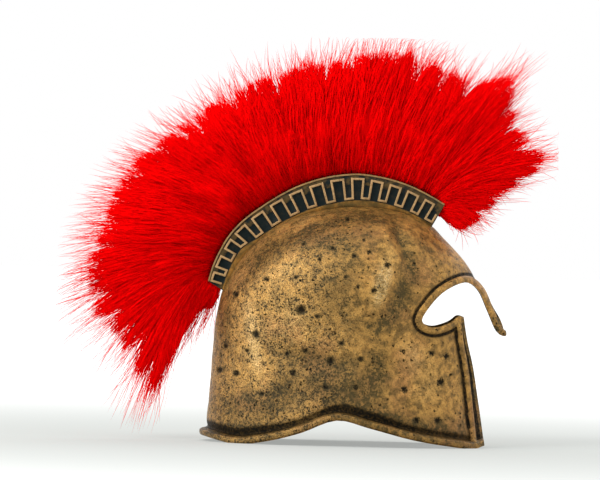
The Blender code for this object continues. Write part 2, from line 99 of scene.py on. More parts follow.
# Rows of the shell by height above the rim's edge, each span of which is split finely
SKIN_ROWS = (-0.0025, 0.006, 0.019, 0.034, 0.051, 0.068, 0.085, 0.101, 0.115,
             0.128, 0.140, 0.151, 0.162, 0.173, 0.184, 0.195, 0.205, 0.214, 0.222, 0.229, 0.2345, 0.2374,
             0.2386)
INNER_RIM_ROWS = (-0.018, -0.0025, 0.002, 0.005, 0.008, 0.011, 0.0145)
CLOSED_BELOW = 0.006
FINE_ROWS = 154
FINE_COLUMNS = 128
INNER_ROWS = 54
BOWL_ROWS = 66
BOWL_COLUMNS = 72
BOWL_GAP = 0.0002
INNER_COLUMNS = 36
EDGE_ZONE = 0.0135
EDGE_MARGIN = 0.0020
EDGE_CUTS = 2

# Dents and bulges on the side: place along x and z, radii along and across, slope, depth (bulges < 0)
DENTS = (
    # x, z, long_radius, short_radius, slope_deg, depth
    (0.082, 0.192, 0.027, 0.0080, -67.0, 0.0032),
    (0.082, 0.158, 0.014, 0.0070, -80.0, 0.0026),
    (0.060, 0.165, 0.017, 0.0120, -70.0, -0.0020),
    (0.055, 0.124, 0.018, 0.0080, 45.0, 0.0018),
    (0.064, 0.070, 0.020, 0.0090, -80.0, 0.0014),
    (0.003, 0.085, 0.030, 0.0110, -10.0, 0.0024),
    (-0.062, 0.120, 0.045, 0.0150, 85.0, -0.0012),
)

# Side outline of the free edge in three stretches: rim, cheek front, and eye opening down to the nasal
RIM_EDGE = (
    # x, z
    (-0.130, 0.0085), (-0.112, 0.0052), (-0.080, -0.0008), (-0.048, 0.0036), (-0.016, 0.0125),
    (0.0187, 0.0257), (0.052, 0.0186), (0.095, 0.0078), (0.135, 0.0014), (0.155, -0.0007), (0.167, 0.0028),
)
CHEEK_EDGE = (
    # x, z
    (0.1670, 0.0028), (0.1608, 0.0400), (0.1540, 0.0790), (0.1475, 0.1050), (0.1428, 0.1304),
)
EYE_EDGE = (
    # x, z
    (0.1428, 0.1304), (0.1372, 0.1306), (0.1290, 0.1243), (0.1137, 0.1193), (0.1020, 0.1235),
    (0.1034, 0.1328), (0.1205, 0.1535), (0.1432, 0.1644), (0.1571, 0.1568), (0.1668, 0.1371),
    (0.1750, 0.1189), (0.1802, 0.1130),
)
NASAL_TIP = (0.1836, 0.1116)

# Relief along the free edge: distance from the edge and height above the surface
EYE_RELIEF = (
    # distance, height
    (0.0, 0.0001), (0.0007, 0.0011), (0.0018, 0.0017), (0.0040, 0.0017), (0.0054, 0.0012), (0.0064, 0.0002),
    (0.0071, -0.0009), (0.0082, -0.0010), (0.0105, -0.0003), (0.0135, 0.0),
)
RIM_RELIEF = (
    # distance, height
    (0.0, 0.0002), (0.0010, 0.0014), (0.0030, 0.0021), (0.0055, 0.0020), (0.0072, 0.0009), (0.0080, -0.0012),
    (0.0092, -0.0021), (0.0108, -0.0018), (0.0135, -0.0008), (0.0180, -0.0002), (0.0220, 0.0),
)
CHEEK_RELIEF = (
    # distance past the flange, height
    (-0.0080, -0.0008), (-0.0004, -0.0010), (0.0004, 0.0008), (0.0014, 0.0016), (0.0034, 0.0016),
    (0.0046, 0.0009), (0.0052, -0.0006), (0.0062, -0.0012), (0.0080, -0.0005), (0.0110, 0.0),
)
# Pits, measured in the picture: place, radius and depth in millimetres
PITS = (
    # picture_x, picture_y, radius, depth
    (301, 309, 5.0, 1.0), (257, 333, 4.2, 0.8), (293, 371, 3.4, 0.8), (325, 385, 3.2, 0.7),
    (330, 359, 3.8, 0.7), (360, 357, 3.4, 0.6), (319.5, 259, 2.3, 0.6), (372.6, 289.5, 3.0, 0.6),
    (341, 341.5, 2.5, 0.7), (403, 387, 3.6, 0.7), (439, 380.5, 3.8, 0.8), (430, 352, 2.7, 0.6),
    (445, 355, 3.2, 0.5), (415, 418, 3.6, 0.6), (436, 418.5, 3.6, 0.6), (220.5, 369, 3.2, 0.8),
    (237, 372, 3.2, 0.7), (237, 294, 2.8, 0.7), (355, 385, 2.8, 0.5), (402, 350, 2.2, 0.6),
    (303, 244, 1.8, 0.4), (332, 248, 2.2, 0.4), (353, 255.5, 2.6, 0.4), (368, 252, 2.4, 0.4),
    (386, 265, 3.4, 0.5), (267, 278.5, 2.8, 0.5), (296, 276.5, 2.0, 0.4), (345, 276.5, 2.2, 0.5),
    (357, 286, 1.9, 0.4), (317, 315, 2.2, 0.4), (305, 349, 2.6, 0.4), (287, 352, 2.4, 0.4),
    (363, 240, 1.8, 0.4), (347, 219, 2.4, 0.4), (449, 374, 1.8, 0.4), (248, 349, 2.2, 0.5),
    (226, 345, 2.4, 0.5), (262, 392, 2.4, 0.4),
)

# Marks measured in the picture: dark ones, above 0, are stains and painted shade; bright ones, below 0, are
# painted highlights and glare
STAIN_SHADE_HIGHLIGHT_MARKS = (
    # picture_x, picture_y, long_radius, short_radius, slope_deg, amount
    (401, 292, 27, 10, 70, 1.1), (378, 322, 19, 9, 42, 1.0), (377, 366, 24, 12, 80, 1.1),
    (313, 359, 38, 10, -12, 1.1), (280, 394, 26, 12, 70, 0.95), (400, 240, 30, 5, -64, 0.75),
    (412, 268, 16, 5, -72, 0.85), (225, 325, 40, 10, 88, 0.75), (248, 283, 16, 6, 62, 0.75),
    (262, 259, 17, 8, 40, 1.0), (285, 243, 18, 7, 32, 1.0), (315, 229, 17, 6, 28, 0.90),
    (340, 221, 14, 6, 5, 0.75), (368, 217, 17, 7, -2, 0.90), (436, 336, 24, 5, 4, 0.55),
    (428, 300, 8, 4, 60, 0.45), (461, 385, 50, 4, -83, 0.40), (375, 412, 26, 8, -12, 0.70),
    (335, 390, 42, 20, -10, 1.2), (335, 240, 52, 15, 10, 0.90), (348, 266, 18, 14, 60, 0.35),
    (430, 418, 36, 10, -10, 0.45), (420, 245, 22, 10, -40, 0.30), (245, 403, 38, 18, 6, 1.1),
    (381, 284, 26, 9, 78, -1.0), (254, 338, 42, 8, -79, -1.0), (300, 312, 24, 15, 20, -0.60),
    (304, 222, 16, 5, 40, -0.45), (290, 265, 22, 9, 30, -0.50), (411, 352, 22, 14, -60, -0.40),
    (236, 427, 30, 7, 0, 1.0), (442, 431, 30, 6, -8, 0.6), (402, 420, 24, 6, -14, 0.5),
    (226, 390, 20, 9, 80, -0.25), (318, 398, 16, 7, 30, -0.25), (408, 224, 16, 5, -60, -0.30),
    (330, 300, 26, 20, 20, 0.75), (425, 390, 24, 16, 60, -0.22), (385, 238, 10, 5, -70, -0.35),
    (325, 276, 26, 12, 0, 0.35),
)
FAR_SIDE_PITS = 0.6
PIT_SPLIT = 1.4
PIT_LIP = 0.25
SHELL_ATTRIBUTES = ("groove_shade", "inside", "stain_shade_highlight", "pit", "rough")
CREASES = (
    # picture_x, picture_y, long_radius, short_radius, slope_deg, depth
    (404, 250, 34, 5.0, -68, 1.8), (392, 252, 30, 5.5, -70, -1.2), (401, 298, 24, 10, 70, 1.6),
    (380, 284, 26, 10, 78, -1.4), (313, 357, 36, 9, -12, 1.6), (377, 366, 26, 12, 80, 1.4),
    (256, 262, 26, 7, 46, 1.1), (318, 228, 42, 6, 18, 1.0), (428, 244, 20, 12, -40, 0.8),
    (280, 396, 26, 12, 70, 1.0), (254, 338, 40, 12, -80, -0.8), (430, 372, 24, 14, -75, -0.6),
)
UNEVEN = ((0.020, 0.00055), (0.0075, 0.00022))
# How dark the recess above the rim is
RIM_SHADE = (
    # picture_x, share
    (200, 1.0), (262, 1.0), (285, 0.60), (315, 0.50), (332, 0.85), (345, 1.0), (378, 1.0), (400, 0.60),
    (430, 0.55), (475, 0.55),
)
RIM_SHADE_ROW = 440
RIM_BEAD = 0.0070
GROOVE_DEPTH = 0.0011
# How much darker the rim bead is, how much painted shade the inward-turned cheek flange gets, and the share
# of the grooves' painted shade there
RIM_BEAD_DARKENING = 0.45
FLANGE_SHADE = 0.8
FLANGE_GROOVE_SHADE = 0.25
RIM_RECESS = 0.0200
FLANGE_TOP = 0.0030
FLANGE_FOOT = 0.0075

# Crest rail's outer arc, with the meander's distance from it and the height of its teeth
RAIL_ARC = (
    # x, z, margin, tooth
    (-0.1122, 0.1590, 0.0028, 0.0107), (-0.1065, 0.1782, 0.0035, 0.0110), (-0.0950, 0.2015, 0.0037, 0.0120),
    (-0.0800, 0.2196, 0.0045, 0.0165), (-0.0596, 0.2356, 0.0045, 0.0172), (-0.0370, 0.2500, 0.0047, 0.0185),
    (-0.0182, 0.2588, 0.0050, 0.0190), (0.0060, 0.2662, 0.0048, 0.0200), (0.0322, 0.2696, 0.0046, 0.0195),
    (0.0550, 0.2676, 0.0054, 0.0178), (0.0790, 0.2618, 0.0055, 0.0170), (0.1004, 0.2532, 0.0060, 0.0162),
    (0.1216, 0.2416, 0.0052, 0.0165),
)
TOOTH_STARTS = (0.0015, 0.0165, 0.0370, 0.0560, 0.0790, 0.1020, 0.1245, 0.1470, 0.1695, 0.1910, 0.2120,
                0.2315, 0.2510, 0.2710)
TOOTH_SHARE = 0.57
LAST_LEG_SHARE = 0.45
MEANDER_HALF = 0.0166
MEANDER_LINE = 0.0021
MEANDER_FOOT_SPACE = 0.0022
RAIL_GROUND_HALF = 0.0150
POCKET_HALF = 0.0145
POCKET_LOWER = 0.8
POCKET_STEPS = 5
GAP_SHARE = 0.30
RAIL_BEAD_HALF = 0.0161
RAIL_BEAD_WIDTH = 0.0011
RAIL_BEAD_STEP = 0.0004
RAIL_FOOT_HALF = 0.0156
RAIL_SINK = 0.0340
RAIL_SINK_EXTRA = 0.0100
RAIL_REAR_SLANT = 0.26
RAIL_STEPS = 60
RAIL_BEVEL = 0.00038
RAIL_BEVEL_DEG = 50
RAIL_ROUGHNESS = 0.00016
RAIL_ROUGH_SIZE = 0.009
RAIL_SMOOTH_DEG = 40.0
CHANNEL_HALF = 0.0093
CHANNEL_DEPTH = 0.0060
# Where the rail's finishes change, by the distance from the middle plane
GROUND_ZONE = (0.01465, 0.01490)
MARGIN_ZONE = (0.01520, 0.01550)
LINE_ZONE = (0.01560, 0.01650)

# Plume: where the hair leaves the rail as a share of its length, where it ends, and how full the fur is there
PLUME_FAN = (
    # station, tip_x, tip_z, fullness
    (0.008, -0.1055, 0.1350, 0.26), (0.015, -0.1320, 0.1160, 0.40), (0.024, -0.168, 0.0465, 0.55),
    (0.034, -0.194, 0.090, 0.70), (0.055, -0.229, 0.130, 0.84), (0.100, -0.232, 0.175, 0.94),
    (0.170, -0.216, 0.225, 1.00), (0.250, -0.191, 0.274, 1.00), (0.350, -0.132, 0.324, 1.00),
    (0.460, -0.067, 0.362, 1.00), (0.570, 0.003, 0.381, 1.00), (0.680, 0.058, 0.393, 1.00),
    (0.780, 0.108, 0.380, 1.00), (0.870, 0.152, 0.364, 0.96), (0.925, 0.188, 0.372, 0.90),
    (0.950, 0.190, 0.325, 0.84), (0.968, 0.222, 0.292, 0.76), (0.978, 0.186, 0.257, 0.62),
    (0.986, 0.156, 0.226, 0.44), (0.995, 0.1400, 0.2140, 0.26),
)
HAIR_BEND = 0.34
ROOT_DEPTH = 0.0040
REAR_ROOT_DEPTH = 0.0110
FRONT_ROOT_DEPTH = 0.0090
REAR_ROOT_ROWS = (0.2, 1.6)
FRONT_ROOT_ROWS = (17.2, 18.8)

# Half thickness of the fur by the share of the hair's length
FUR_SECTION = (
    # reach, half_thickness
    (0.0, 0.0080), (0.04, 0.0090), (0.14, 0.0205), (0.30, 0.0290), (0.50, 0.0335), (0.70, 0.0310),
    (0.85, 0.0240), (0.95, 0.0150), (1.0, 0.0075),
)
CORE_COLUMNS = 190
CORE_STEPS = 22
CORE_REACH = 0.86
CORE_SHARE = 0.84
CORE_LUMPS = 0.05
CORE_JAG = 0.05
CORE_THINNING = 0.25
CORE_TIP = 0.02
CORE_SMOOTH_DEG = 60.0
FUR_PIECES = 4
STRANDS = 6700
RING_PLACES = (0.0, 0.24, 0.48, 0.72, 0.90, 1.0)
RING_WIDTHS = (0.8, 1.0, 1.0, 0.9, 0.65)
STRAND_SIDES = 3
CLUMPS = 1100
ROW_SPACING = 0.030
HAIR_LENGTH = 0.130
TUFTS = (1.7, 0.9, 0.055)
TUFT_FROM = (8.0, 10.0)
TUFT_TO = (15.0, 16.5)
FUR_SEED = 11
FUR_LIMITS = ((-0.2490, -1.0, 0.0030), (0.2495, 1.0, 0.4060))

# Hairs by kind: outer ones, the strays among them, and inner ones, as shares of the fur's reach
OUTER_SHARE = 0.50
STRAY_SHARE = 0.20
CLUMP_ENDS = (0.15, 1.0)
CLUMP_REACH = (0.93, 1.05)
OUTER_START = (0.52, 0.84)
INNER_START = (-0.12, 0.84)
INNER_SPAN = (0.20, 0.42)
OUTER_END = (0.85, 0.99)
STRAY_END = (0.97, 1.15)
LOWEST_LONGER = 0.4
REAR_LONGER = 0.04
OUTER_GATHER = (0.45, 0.95)
INNER_GATHER = (0.15, 0.85)
STRAY_GATHER = 0.1
STRAY_DRIFT, OUTER_DRIFT, INNER_DRIFT = 0.0065, 0.0016, 0.0014
STRAY_CURL, HAIR_CURL = 0.0035, 0.0010
STRAY_WIDTH, OUTER_WIDTH = 0.60, 0.95

# Camera, matched to the photograph's 600 x 480 frame at 1 mm a pixel
PICTURE_WIDTH = 600
PICTURE_ORIGIN = (316.5, 442.86)
PIXEL = 0.001
PICTURE_ROLL = math.radians(1.487)
VIEW_CENTRE = (-0.0064, 0.2024)
CAMERA_DISTANCE = 6.0
CAMERA_REACH = 100.0
SENSOR = 36.0

# Studio: the background's ramps hold from, to, and the strengths there
WORLD_SHADE = (-0.6, 0.5, 0.42, 1.0)
WORLD_ZENITH = (0.2, 0.9, 0.0, 0.75)
WORLD_HORIZON = (0.06, 0.22, 1.0, 0.0)
FLOOR_RADIUS = 30.0
# The floor is darker near the helmet and white far off, and glows near the helmet: a painted glow that lifts
# the shadow under it
FLOOR_FADE = (0.15, 3.0)
FLOOR_NEAR = (0.26, 0.27, 0.26)
FLOOR_FAR = (1.0, 1.0, 1.0)
FLOOR_GLOW = 0.36
GLOW_COLOUR = (0.97, 1.0, 0.97, 1)
LIGHT_AIM = (0, 0, 0.15)
LIGHTS = (
    # name, place, size, power
    ("key", (-1.6, -2.2, 2.4), 1.0, 50.0),
    ("left", (-2.8, -1.5, 0.8), 0.6, 46.0),
    ("fill", (2.2, -1.8, 1.0), 1.8, 8.0),
    ("back", (0.3, 2.0, 2.2), 1.6, 12.0),
)


def smooth_table(rows, samples=CURVE_SAMPLES):
    """Rows along a smooth curve through the given rows."""
    rows = np.array(rows, float)
    padded = np.vstack([2 * rows[0] - rows[1], rows, 2 * rows[-1] - rows[-2]])
    steps = np.linspace(0, 1, samples, endpoint=False)[:, None]
    spans = []
    for before, start, end, after in zip(padded, padded[1:], padded[2:], padded[3:]):
        spans.append(0.5 * (2 * start + (end - before) * steps
                            + (2 * before - 5 * start + 4 * end - after) * steps ** 2
                            + (3 * start - before - 3 * end + after) * steps ** 3))
    return np.vstack(spans + [rows[-1:]])


def smoothstep(low, high, value):
    """0 below low, 1 above high and a smooth ramp between."""
    t = np.clip((value - low) / (high - low), 0.0, 1.0)
    return t * t * (3 - 2 * t)


SECTION_TABLE = smooth_table(SECTIONS)
RIM_TABLE = smooth_table(RIM_EDGE)
CHEEK_TABLE = smooth_table(CHEEK_EDGE)
EYE_TABLE = np.vstack([smooth_table(EYE_EDGE), [NASAL_TIP, (CLEAR_FRONT, NASAL_TIP[1])]])
RAIL_TABLE = smooth_table(RAIL_ARC)
RAIL_PLACES = np.concatenate([[0.0], np.cumsum(np.linalg.norm(np.diff(RAIL_TABLE[:, :2], axis=0), axis=1))])
RAIL_LENGTH = RAIL_PLACES[-1]
FAN_TABLE = smooth_table(PLUME_FAN)


def section(height):
    """Rear, widest, front, half width and both fullnesses at the heights."""
    return [np.interp(height, SECTION_TABLE[:, 0], SECTION_TABLE[:, column]) for column in range(1, 7)]


def section_point(height, turn):
    """Points of the smooth outer surface: turn 0 is the rear centre line, 1 the front one, y is positive."""
    rear, widest, front, half_width, rear_fullness, front_fullness = section(height)
    along = -np.cos(np.pi * turn)
    across = np.maximum(np.sin(np.pi * turn), 0.0)
    x = widest + along * np.where(along < 0, widest - rear, front - widest)
    y = half_width * across ** (2 * np.where(along < 0, rear_fullness, front_fullness))
    return np.stack([x, y, np.broadcast_to(height, x.shape)], axis=-1)


def outward(height, turn):
    """Unit normals of the smooth outer surface."""
    turn_step, rise = 0.004, 0.0008
    level = np.minimum(height, SECTIONS[-1][0] - rise)
    place = np.clip(turn, turn_step, 1 - turn_step)
    around = section_point(level, place + turn_step) - section_point(level, place - turn_step)
    upward = section_point(level + rise, place) - section_point(level - rise, place)
    normal = np.cross(upward, around)
    return normal / np.linalg.norm(normal, axis=-1, keepdims=True)


def from_picture(picture_x, picture_y):
    """Side view place of a point of the picture."""
    across = (picture_x - PICTURE_ORIGIN[0]) * PIXEL
    height = (PICTURE_ORIGIN[1] - picture_y) * PIXEL
    turn = (math.cos(PICTURE_ROLL), math.sin(PICTURE_ROLL))
    return across * turn[0] - height * turn[1], across * turn[1] + height * turn[0]


def pit_gaps(x, z):
    """Distance to the nearest pit as a share of its radius, and that pit's depth."""
    nearest = np.full(x.shape, 9.0)
    depth = np.zeros(x.shape)
    for picture_x, picture_y, radius, amount in PITS:
        pit_x, pit_z = from_picture(picture_x, picture_y)
        gap = np.hypot(x - pit_x, z - pit_z) / (radius / 1000)
        closer = gap < nearest
        nearest = np.where(closer, gap, nearest)
        depth = np.where(closer, amount / 1000, depth)
    return nearest, depth


def stain_shade_and_highlight(x, z):
    """Above 0, how dark stains and painted shade make the surface; below 0, how bright painted highlights
    make it.
    """
    total = np.zeros(x.shape)
    for picture_x, picture_y, long_radius, short_radius, slope_deg, amount in STAIN_SHADE_HIGHLIGHT_MARKS:
        total += amount * oval(x, z, picture_x, picture_y, long_radius, short_radius, slope_deg)
    return np.clip(total, -1, 1)


def rim_shade(x):
    """How dark the recess above the rim is, from 0 to 1."""
    places = [from_picture(picture_x, RIM_SHADE_ROW)[0] for picture_x, _ in RIM_SHADE]
    return np.interp(x, places, [share for _, share in RIM_SHADE])


def crease_depth(x, z):
    """How far the finer dents of the picture push the surface in."""
    total = np.zeros(x.shape)
    for picture_x, picture_y, long_radius, short_radius, slope_deg, depth in CREASES:
        total += depth / 1000 * oval(x, z, picture_x, picture_y, long_radius, short_radius, slope_deg)
    return total


def oval(x, z, picture_x, picture_y, long_radius, short_radius, slope_deg):
    """A soft oval mark of the picture, 1 at its middle."""
    mark_x, mark_z = from_picture(picture_x, picture_y)
    slope = math.radians(slope_deg)
    along = ((x - mark_x) * math.cos(slope) + (z - mark_z) * math.sin(slope)) * 1000 / long_radius
    across = ((z - mark_z) * math.cos(slope) - (x - mark_x) * math.sin(slope)) * 1000 / short_radius
    return np.exp(-(along ** 2 + across ** 2))


def unevenness(points):
    """Soft hammered unevenness of the metal."""
    total = np.zeros(len(points))
    for size, amount in UNEVEN:
        total += amount * np.array([noise.noise(Vector(point / size)) for point in points])
    return total


def rim_height(x):
    """Height of the rim's lower edge at x."""
    return np.interp(x, RIM_TABLE[:, 0], RIM_TABLE[:, 1])


def cheek_edge_x(height):
    """Where the cheek piece's front edge lies along x."""
    return np.interp(height, CHEEK_TABLE[:, 1], CHEEK_TABLE[:, 0])


def path_distance(x, z, path):
    """Side view distance to a path, and the share of the path's points where it is nearest."""
    nearest = np.full(x.shape, np.inf)
    place = np.zeros(x.shape)
    for index, (start, end) in enumerate(zip(path, path[1:])):
        run = end - start
        share = np.clip(((x - start[0]) * run[0] + (z - start[1]) * run[1]) / max(run @ run, 1e-12), 0, 1)
        gap = np.hypot(x - start[0] - share * run[0], z - start[1] - share * run[1])
        closer = gap < nearest
        nearest = np.where(closer, gap, nearest)
        place = np.where(closer, (index + share) / (len(path) - 1), place)
    return nearest, place


def dent_depth(x, z):
    """How far the dents push the surface in."""
    depth = np.zeros(x.shape)
    for dent_x, dent_z, long_radius, short_radius, slope_deg, amount in DENTS:
        slope = math.radians(slope_deg)
        along = (x - dent_x) * math.cos(slope) + (z - dent_z) * math.sin(slope)
        across = (z - dent_z) * math.cos(slope) - (x - dent_x) * math.sin(slope)
        depth += amount * np.exp(-(along / long_radius) ** 2 - (across / short_radius) ** 2)
    return depth


def edge_relief(x, z):
    """Height of the raised border and its groove, and the distance to the free edge."""
    rim, _ = path_distance(x, z, RIM_TABLE[::4])
    cheek, place = path_distance(x, z, CHEEK_TABLE[::4])
    eye, _ = path_distance(x, z, EYE_TABLE)
    flange = FLANGE_FOOT + (FLANGE_TOP - FLANGE_FOOT) * place
    layers = []
    for distance, relief in ((rim, RIM_RELIEF), (cheek - flange, CHEEK_RELIEF), (eye, EYE_RELIEF)):
        gaps, heights = np.array(relief).T
        layers.append(np.interp(distance, gaps, heights, right=0.0))
    layers = np.array(layers)
    raised = layers.max(axis=0)
    height = np.where(raised > 0, raised, layers.min(axis=0))
    return height, np.minimum(np.minimum(rim, cheek), eye)


def wall_point(reach, column, lift, relief):
    """Points of the wall at a height above the rim's edge and a share of the way round, lifted off it."""
    fade = np.maximum(1 - np.maximum(reach, 0.0) / RIM_FADE, 0.0) ** 2
    level = np.clip(reach, 0.0, CHEEK_EDGE[-1][1])
    _, widest, front, _, _, _ = section(level)
    edge_turn = np.arccos(-(cheek_edge_x(level) + COLUMN_PAST_EDGE - widest) / (front - widest)) / np.pi
    to_front = np.clip((1 - column) / (1 - CHEEK_SHARE), 0, 1) ** (0.5 / section(reach)[5])
    turn = np.where(column < CHEEK_SHARE, edge_turn * column / CHEEK_SHARE, 1 - (1 - edge_turn) * to_front)
    height = reach
    for _ in range(2):
        height = reach + rim_height(section_point(height, turn)[..., 0]) * fade
    point = section_point(height, turn)
    x, z = point[..., 0], point[..., 2]
    push = lift - dent_depth(x, z)
    push = push + RIM_FLARE * (1 - smoothstep(RIM_FLARE_FULL, RIM_FLARE_END, height - rim_height(x)))
    if relief:
        push = push + edge_relief(x, z)[0]
    least_y = RIDGE_KEEP * point[..., 1]
    point = point + outward(height, turn) * push[..., None]
    point[..., 1] = np.maximum(point[..., 1], least_y)
    cheek_top = CHEEK_EDGE[-1][1]
    turned = FRONT_TURN_IN * (1 - smoothstep(0.0, FRONT_TURN_REACH, cheek_edge_x(height) - x))
    turned = turned * (1 - smoothstep(cheek_top, cheek_top + FRONT_TURN_FADE, height))
    point[..., 1] -= turned * smoothstep(0.0, FRONT_TURN_FADE, point[..., 1])
    point[..., 1] = np.where((column <= 0) | (column >= 1), 0.0, point[..., 1])
    return point


def deselect():
    """Leaves object mode with nothing selected."""
    if bpy.context.object and bpy.context.object.mode != "OBJECT":
        bpy.ops.object.mode_set(mode="OBJECT")
    bpy.ops.object.select_all(action="DESELECT")


def activate(item):
    """Selects the item alone and makes it active."""
    deselect()
    item.select_set(True)
    bpy.context.view_layer.objects.active = item


def apply_modifier(item, kind, **values):
    """Adds a modifier with the values and applies it."""
    activate(item)
    modifier = item.modifiers.new(kind.title(), kind)
    for name, value in values.items():
        setattr(modifier, name, value)
    bpy.ops.object.modifier_apply(modifier=modifier.name)


def vertex_array(mesh):
    """The mesh's vertex places as an array."""
    places = np.empty(len(mesh.vertices) * 3, np.float32)
    mesh.vertices.foreach_get("co", places)
    return places.reshape(-1, 3).astype(float)


def set_vertices(mesh, places):
    """Moves the mesh's vertices."""
    mesh.vertices.foreach_set("co", np.asarray(places, np.float32).ravel())
    mesh.update()


def set_attribute(mesh, name, values):
    """Stores a number for each vertex."""
    attribute = mesh.attributes.new(name, "FLOAT", "POINT")
    attribute.data.foreach_set("value", np.asarray(values, np.float32).ravel())


def opening_outline():
    """Side view outline of all that is cut away: below the rim, in front of the cheeks and at the eyes."""
    rim = RIM_TABLE[::6].copy()
    rim[:, 1] = np.maximum(rim[:, 1], 0.0)
    return np.vstack([rim, CHEEK_TABLE[8::8], EYE_TABLE[6:-2:6], EYE_TABLE[-2:],
                      [(CLEAR_FRONT, -CUT_BEYOND), (rim[0][0], -CUT_BEYOND)]])


def is_cut_away(x, z):
    """Which side view places lie in the opening's outline."""
    outline = opening_outline()
    inside = np.zeros(x.shape, bool)
    for (x1, z1), (x2, z2) in zip(outline, np.roll(outline, -1, axis=0)):
        if z1 != z2:
            inside ^= ((z1 > z) != (z2 > z)) & (x < (x2 - x1) * (z - z1) / (z2 - z1) + x1)
    return inside


def wall_sheet(name, columns, rows, lift, relief, levels):
    """A closed body inside one face of the wall, from a flat grid, its cells split near the free edge."""
    deselect()
    bpy.ops.mesh.primitive_grid_add(x_subdivisions=columns, y_subdivisions=rows, size=1.0)
    sheet = bpy.context.object
    sheet.name = name
    levels = np.array(levels)

    def place_of(flat):
        column = np.clip(flat[:, 0] + 0.5, 0.0, 1.0)
        share = np.clip(flat[:, 1] + 0.5, 0.0, 1.0) * (len(levels) - 1)
        return np.interp(share, np.arange(len(levels)), levels), column

    if relief:
        bpy.ops.object.mode_set(mode="EDIT")
        bpy.ops.mesh.select_all(action="DESELECT")
        shape = bmesh.from_edit_mesh(sheet.data)
        centres = np.array([face.calc_center_median()[:] for face in shape.faces])
        reach, column = place_of(centres)
        points = wall_point(reach, column, 0.0, False)
        distance = edge_relief(points[:, 0], points[:, 2])[1]
        cut_away = is_cut_away(points[:, 0], points[:, 2])
        zone = np.where(cut_away, EDGE_MARGIN, EDGE_ZONE)
        pit = (pit_gaps(points[:, 0], points[:, 2])[0] < PIT_SPLIT) & ~cut_away
        near = (distance < zone) | pit
        for face, chosen in zip(shape.faces, near):
            face.select_set(bool(chosen))
        bmesh.update_edit_mesh(sheet.data)
        bpy.ops.mesh.subdivide(number_cuts=EDGE_CUTS, quadcorner="INNERVERT")
        bpy.ops.object.mode_set(mode="OBJECT")
    reach, column = place_of(vertex_array(sheet.data))
    points = wall_point(reach, column, lift, relief)
    top = reach >= levels[-1] - MERGE
    points[top] = (SECTIONS[-1][1], 0.0, SECTIONS[-1][0] + lift)
    points[reach <= levels[0] + MERGE, 2] = levels[0] - CLOSED_BELOW
    set_vertices(sheet.data, points)
    apply_modifier(sheet, "MIRROR", use_axis=(False, True, False), merge_threshold=MERGE)
    bpy.ops.object.mode_set(mode="EDIT")
    bpy.ops.mesh.select_all(action="SELECT")
    bpy.ops.mesh.remove_doubles(threshold=MERGE)
    bpy.ops.mesh.select_all(action="DESELECT")
    bpy.ops.mesh.select_mode(type="EDGE")
    bpy.ops.mesh.select_non_manifold(extend=False, use_wire=False, use_boundary=True,
                                     use_multi_face=False, use_non_contiguous=False, use_verts=False)
    bpy.ops.mesh.edge_face_add()
    bpy.ops.mesh.select_all(action="SELECT")
    bpy.ops.mesh.normals_make_consistent(inside=False)
    bpy.ops.object.mode_set(mode="OBJECT")
    return sheet


def prisms(name, outlines, from_y, to_y):
    """Closed bodies with the side view outlines between two places across."""
    shape = bmesh.new()
    for outline in outlines:
        corners = [shape.verts.new((x, from_y, z)) for x, z in outline]
        bmesh.ops.remove_doubles(shape, verts=corners, dist=MERGE)
        flat = shape.faces.new([corner for corner in corners if corner.is_valid])
        grown = bmesh.ops.extrude_face_region(shape, geom=[flat])["geom"]
        moved = [item for item in grown if isinstance(item, bmesh.types.BMVert)]
        bmesh.ops.translate(shape, vec=(0, to_y - from_y, 0), verts=moved)
    bmesh.ops.recalc_face_normals(shape, faces=shape.faces)
    mesh = bpy.data.meshes.new(name)
    shape.to_mesh(mesh)
    shape.free()
    body = bpy.data.objects.new(name, mesh)
    bpy.context.scene.collection.objects.link(body)
    return body


def prism(name, outline, half_depth):
    """One closed body as deep to both sides as given."""
    return prisms(name, [outline], -half_depth, half_depth)


def apply_boolean(item, operation, other):
    """Joins or cuts the item with the other body, which is removed."""
    apply_modifier(item, "BOOLEAN", operation=operation, object=other, solver="EXACT")
    bpy.data.objects.remove(other)


def merge_close(item):
    """Merges corners that lie on each other and drops faces without area."""
    activate(item)
    bpy.ops.object.mode_set(mode="EDIT")
    bpy.ops.mesh.select_all(action="SELECT")
    bpy.ops.mesh.remove_doubles(threshold=MERGE)
    bpy.ops.mesh.dissolve_degenerate(threshold=MERGE)
    bpy.ops.object.mode_set(mode="OBJECT")


def finish_piece(piece, material, replaced=(), smooth_deg=None):
    """Names the piece's finish and body, and shades it."""
    piece.data.materials.clear()
    piece.data.materials.append(material)
    if smooth_deg is not None:
        activate(piece)
        bpy.ops.object.shade_smooth_by_angle(angle=math.radians(smooth_deg))
    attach(piece, "root")
    if replaced:
        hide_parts(*replaced)


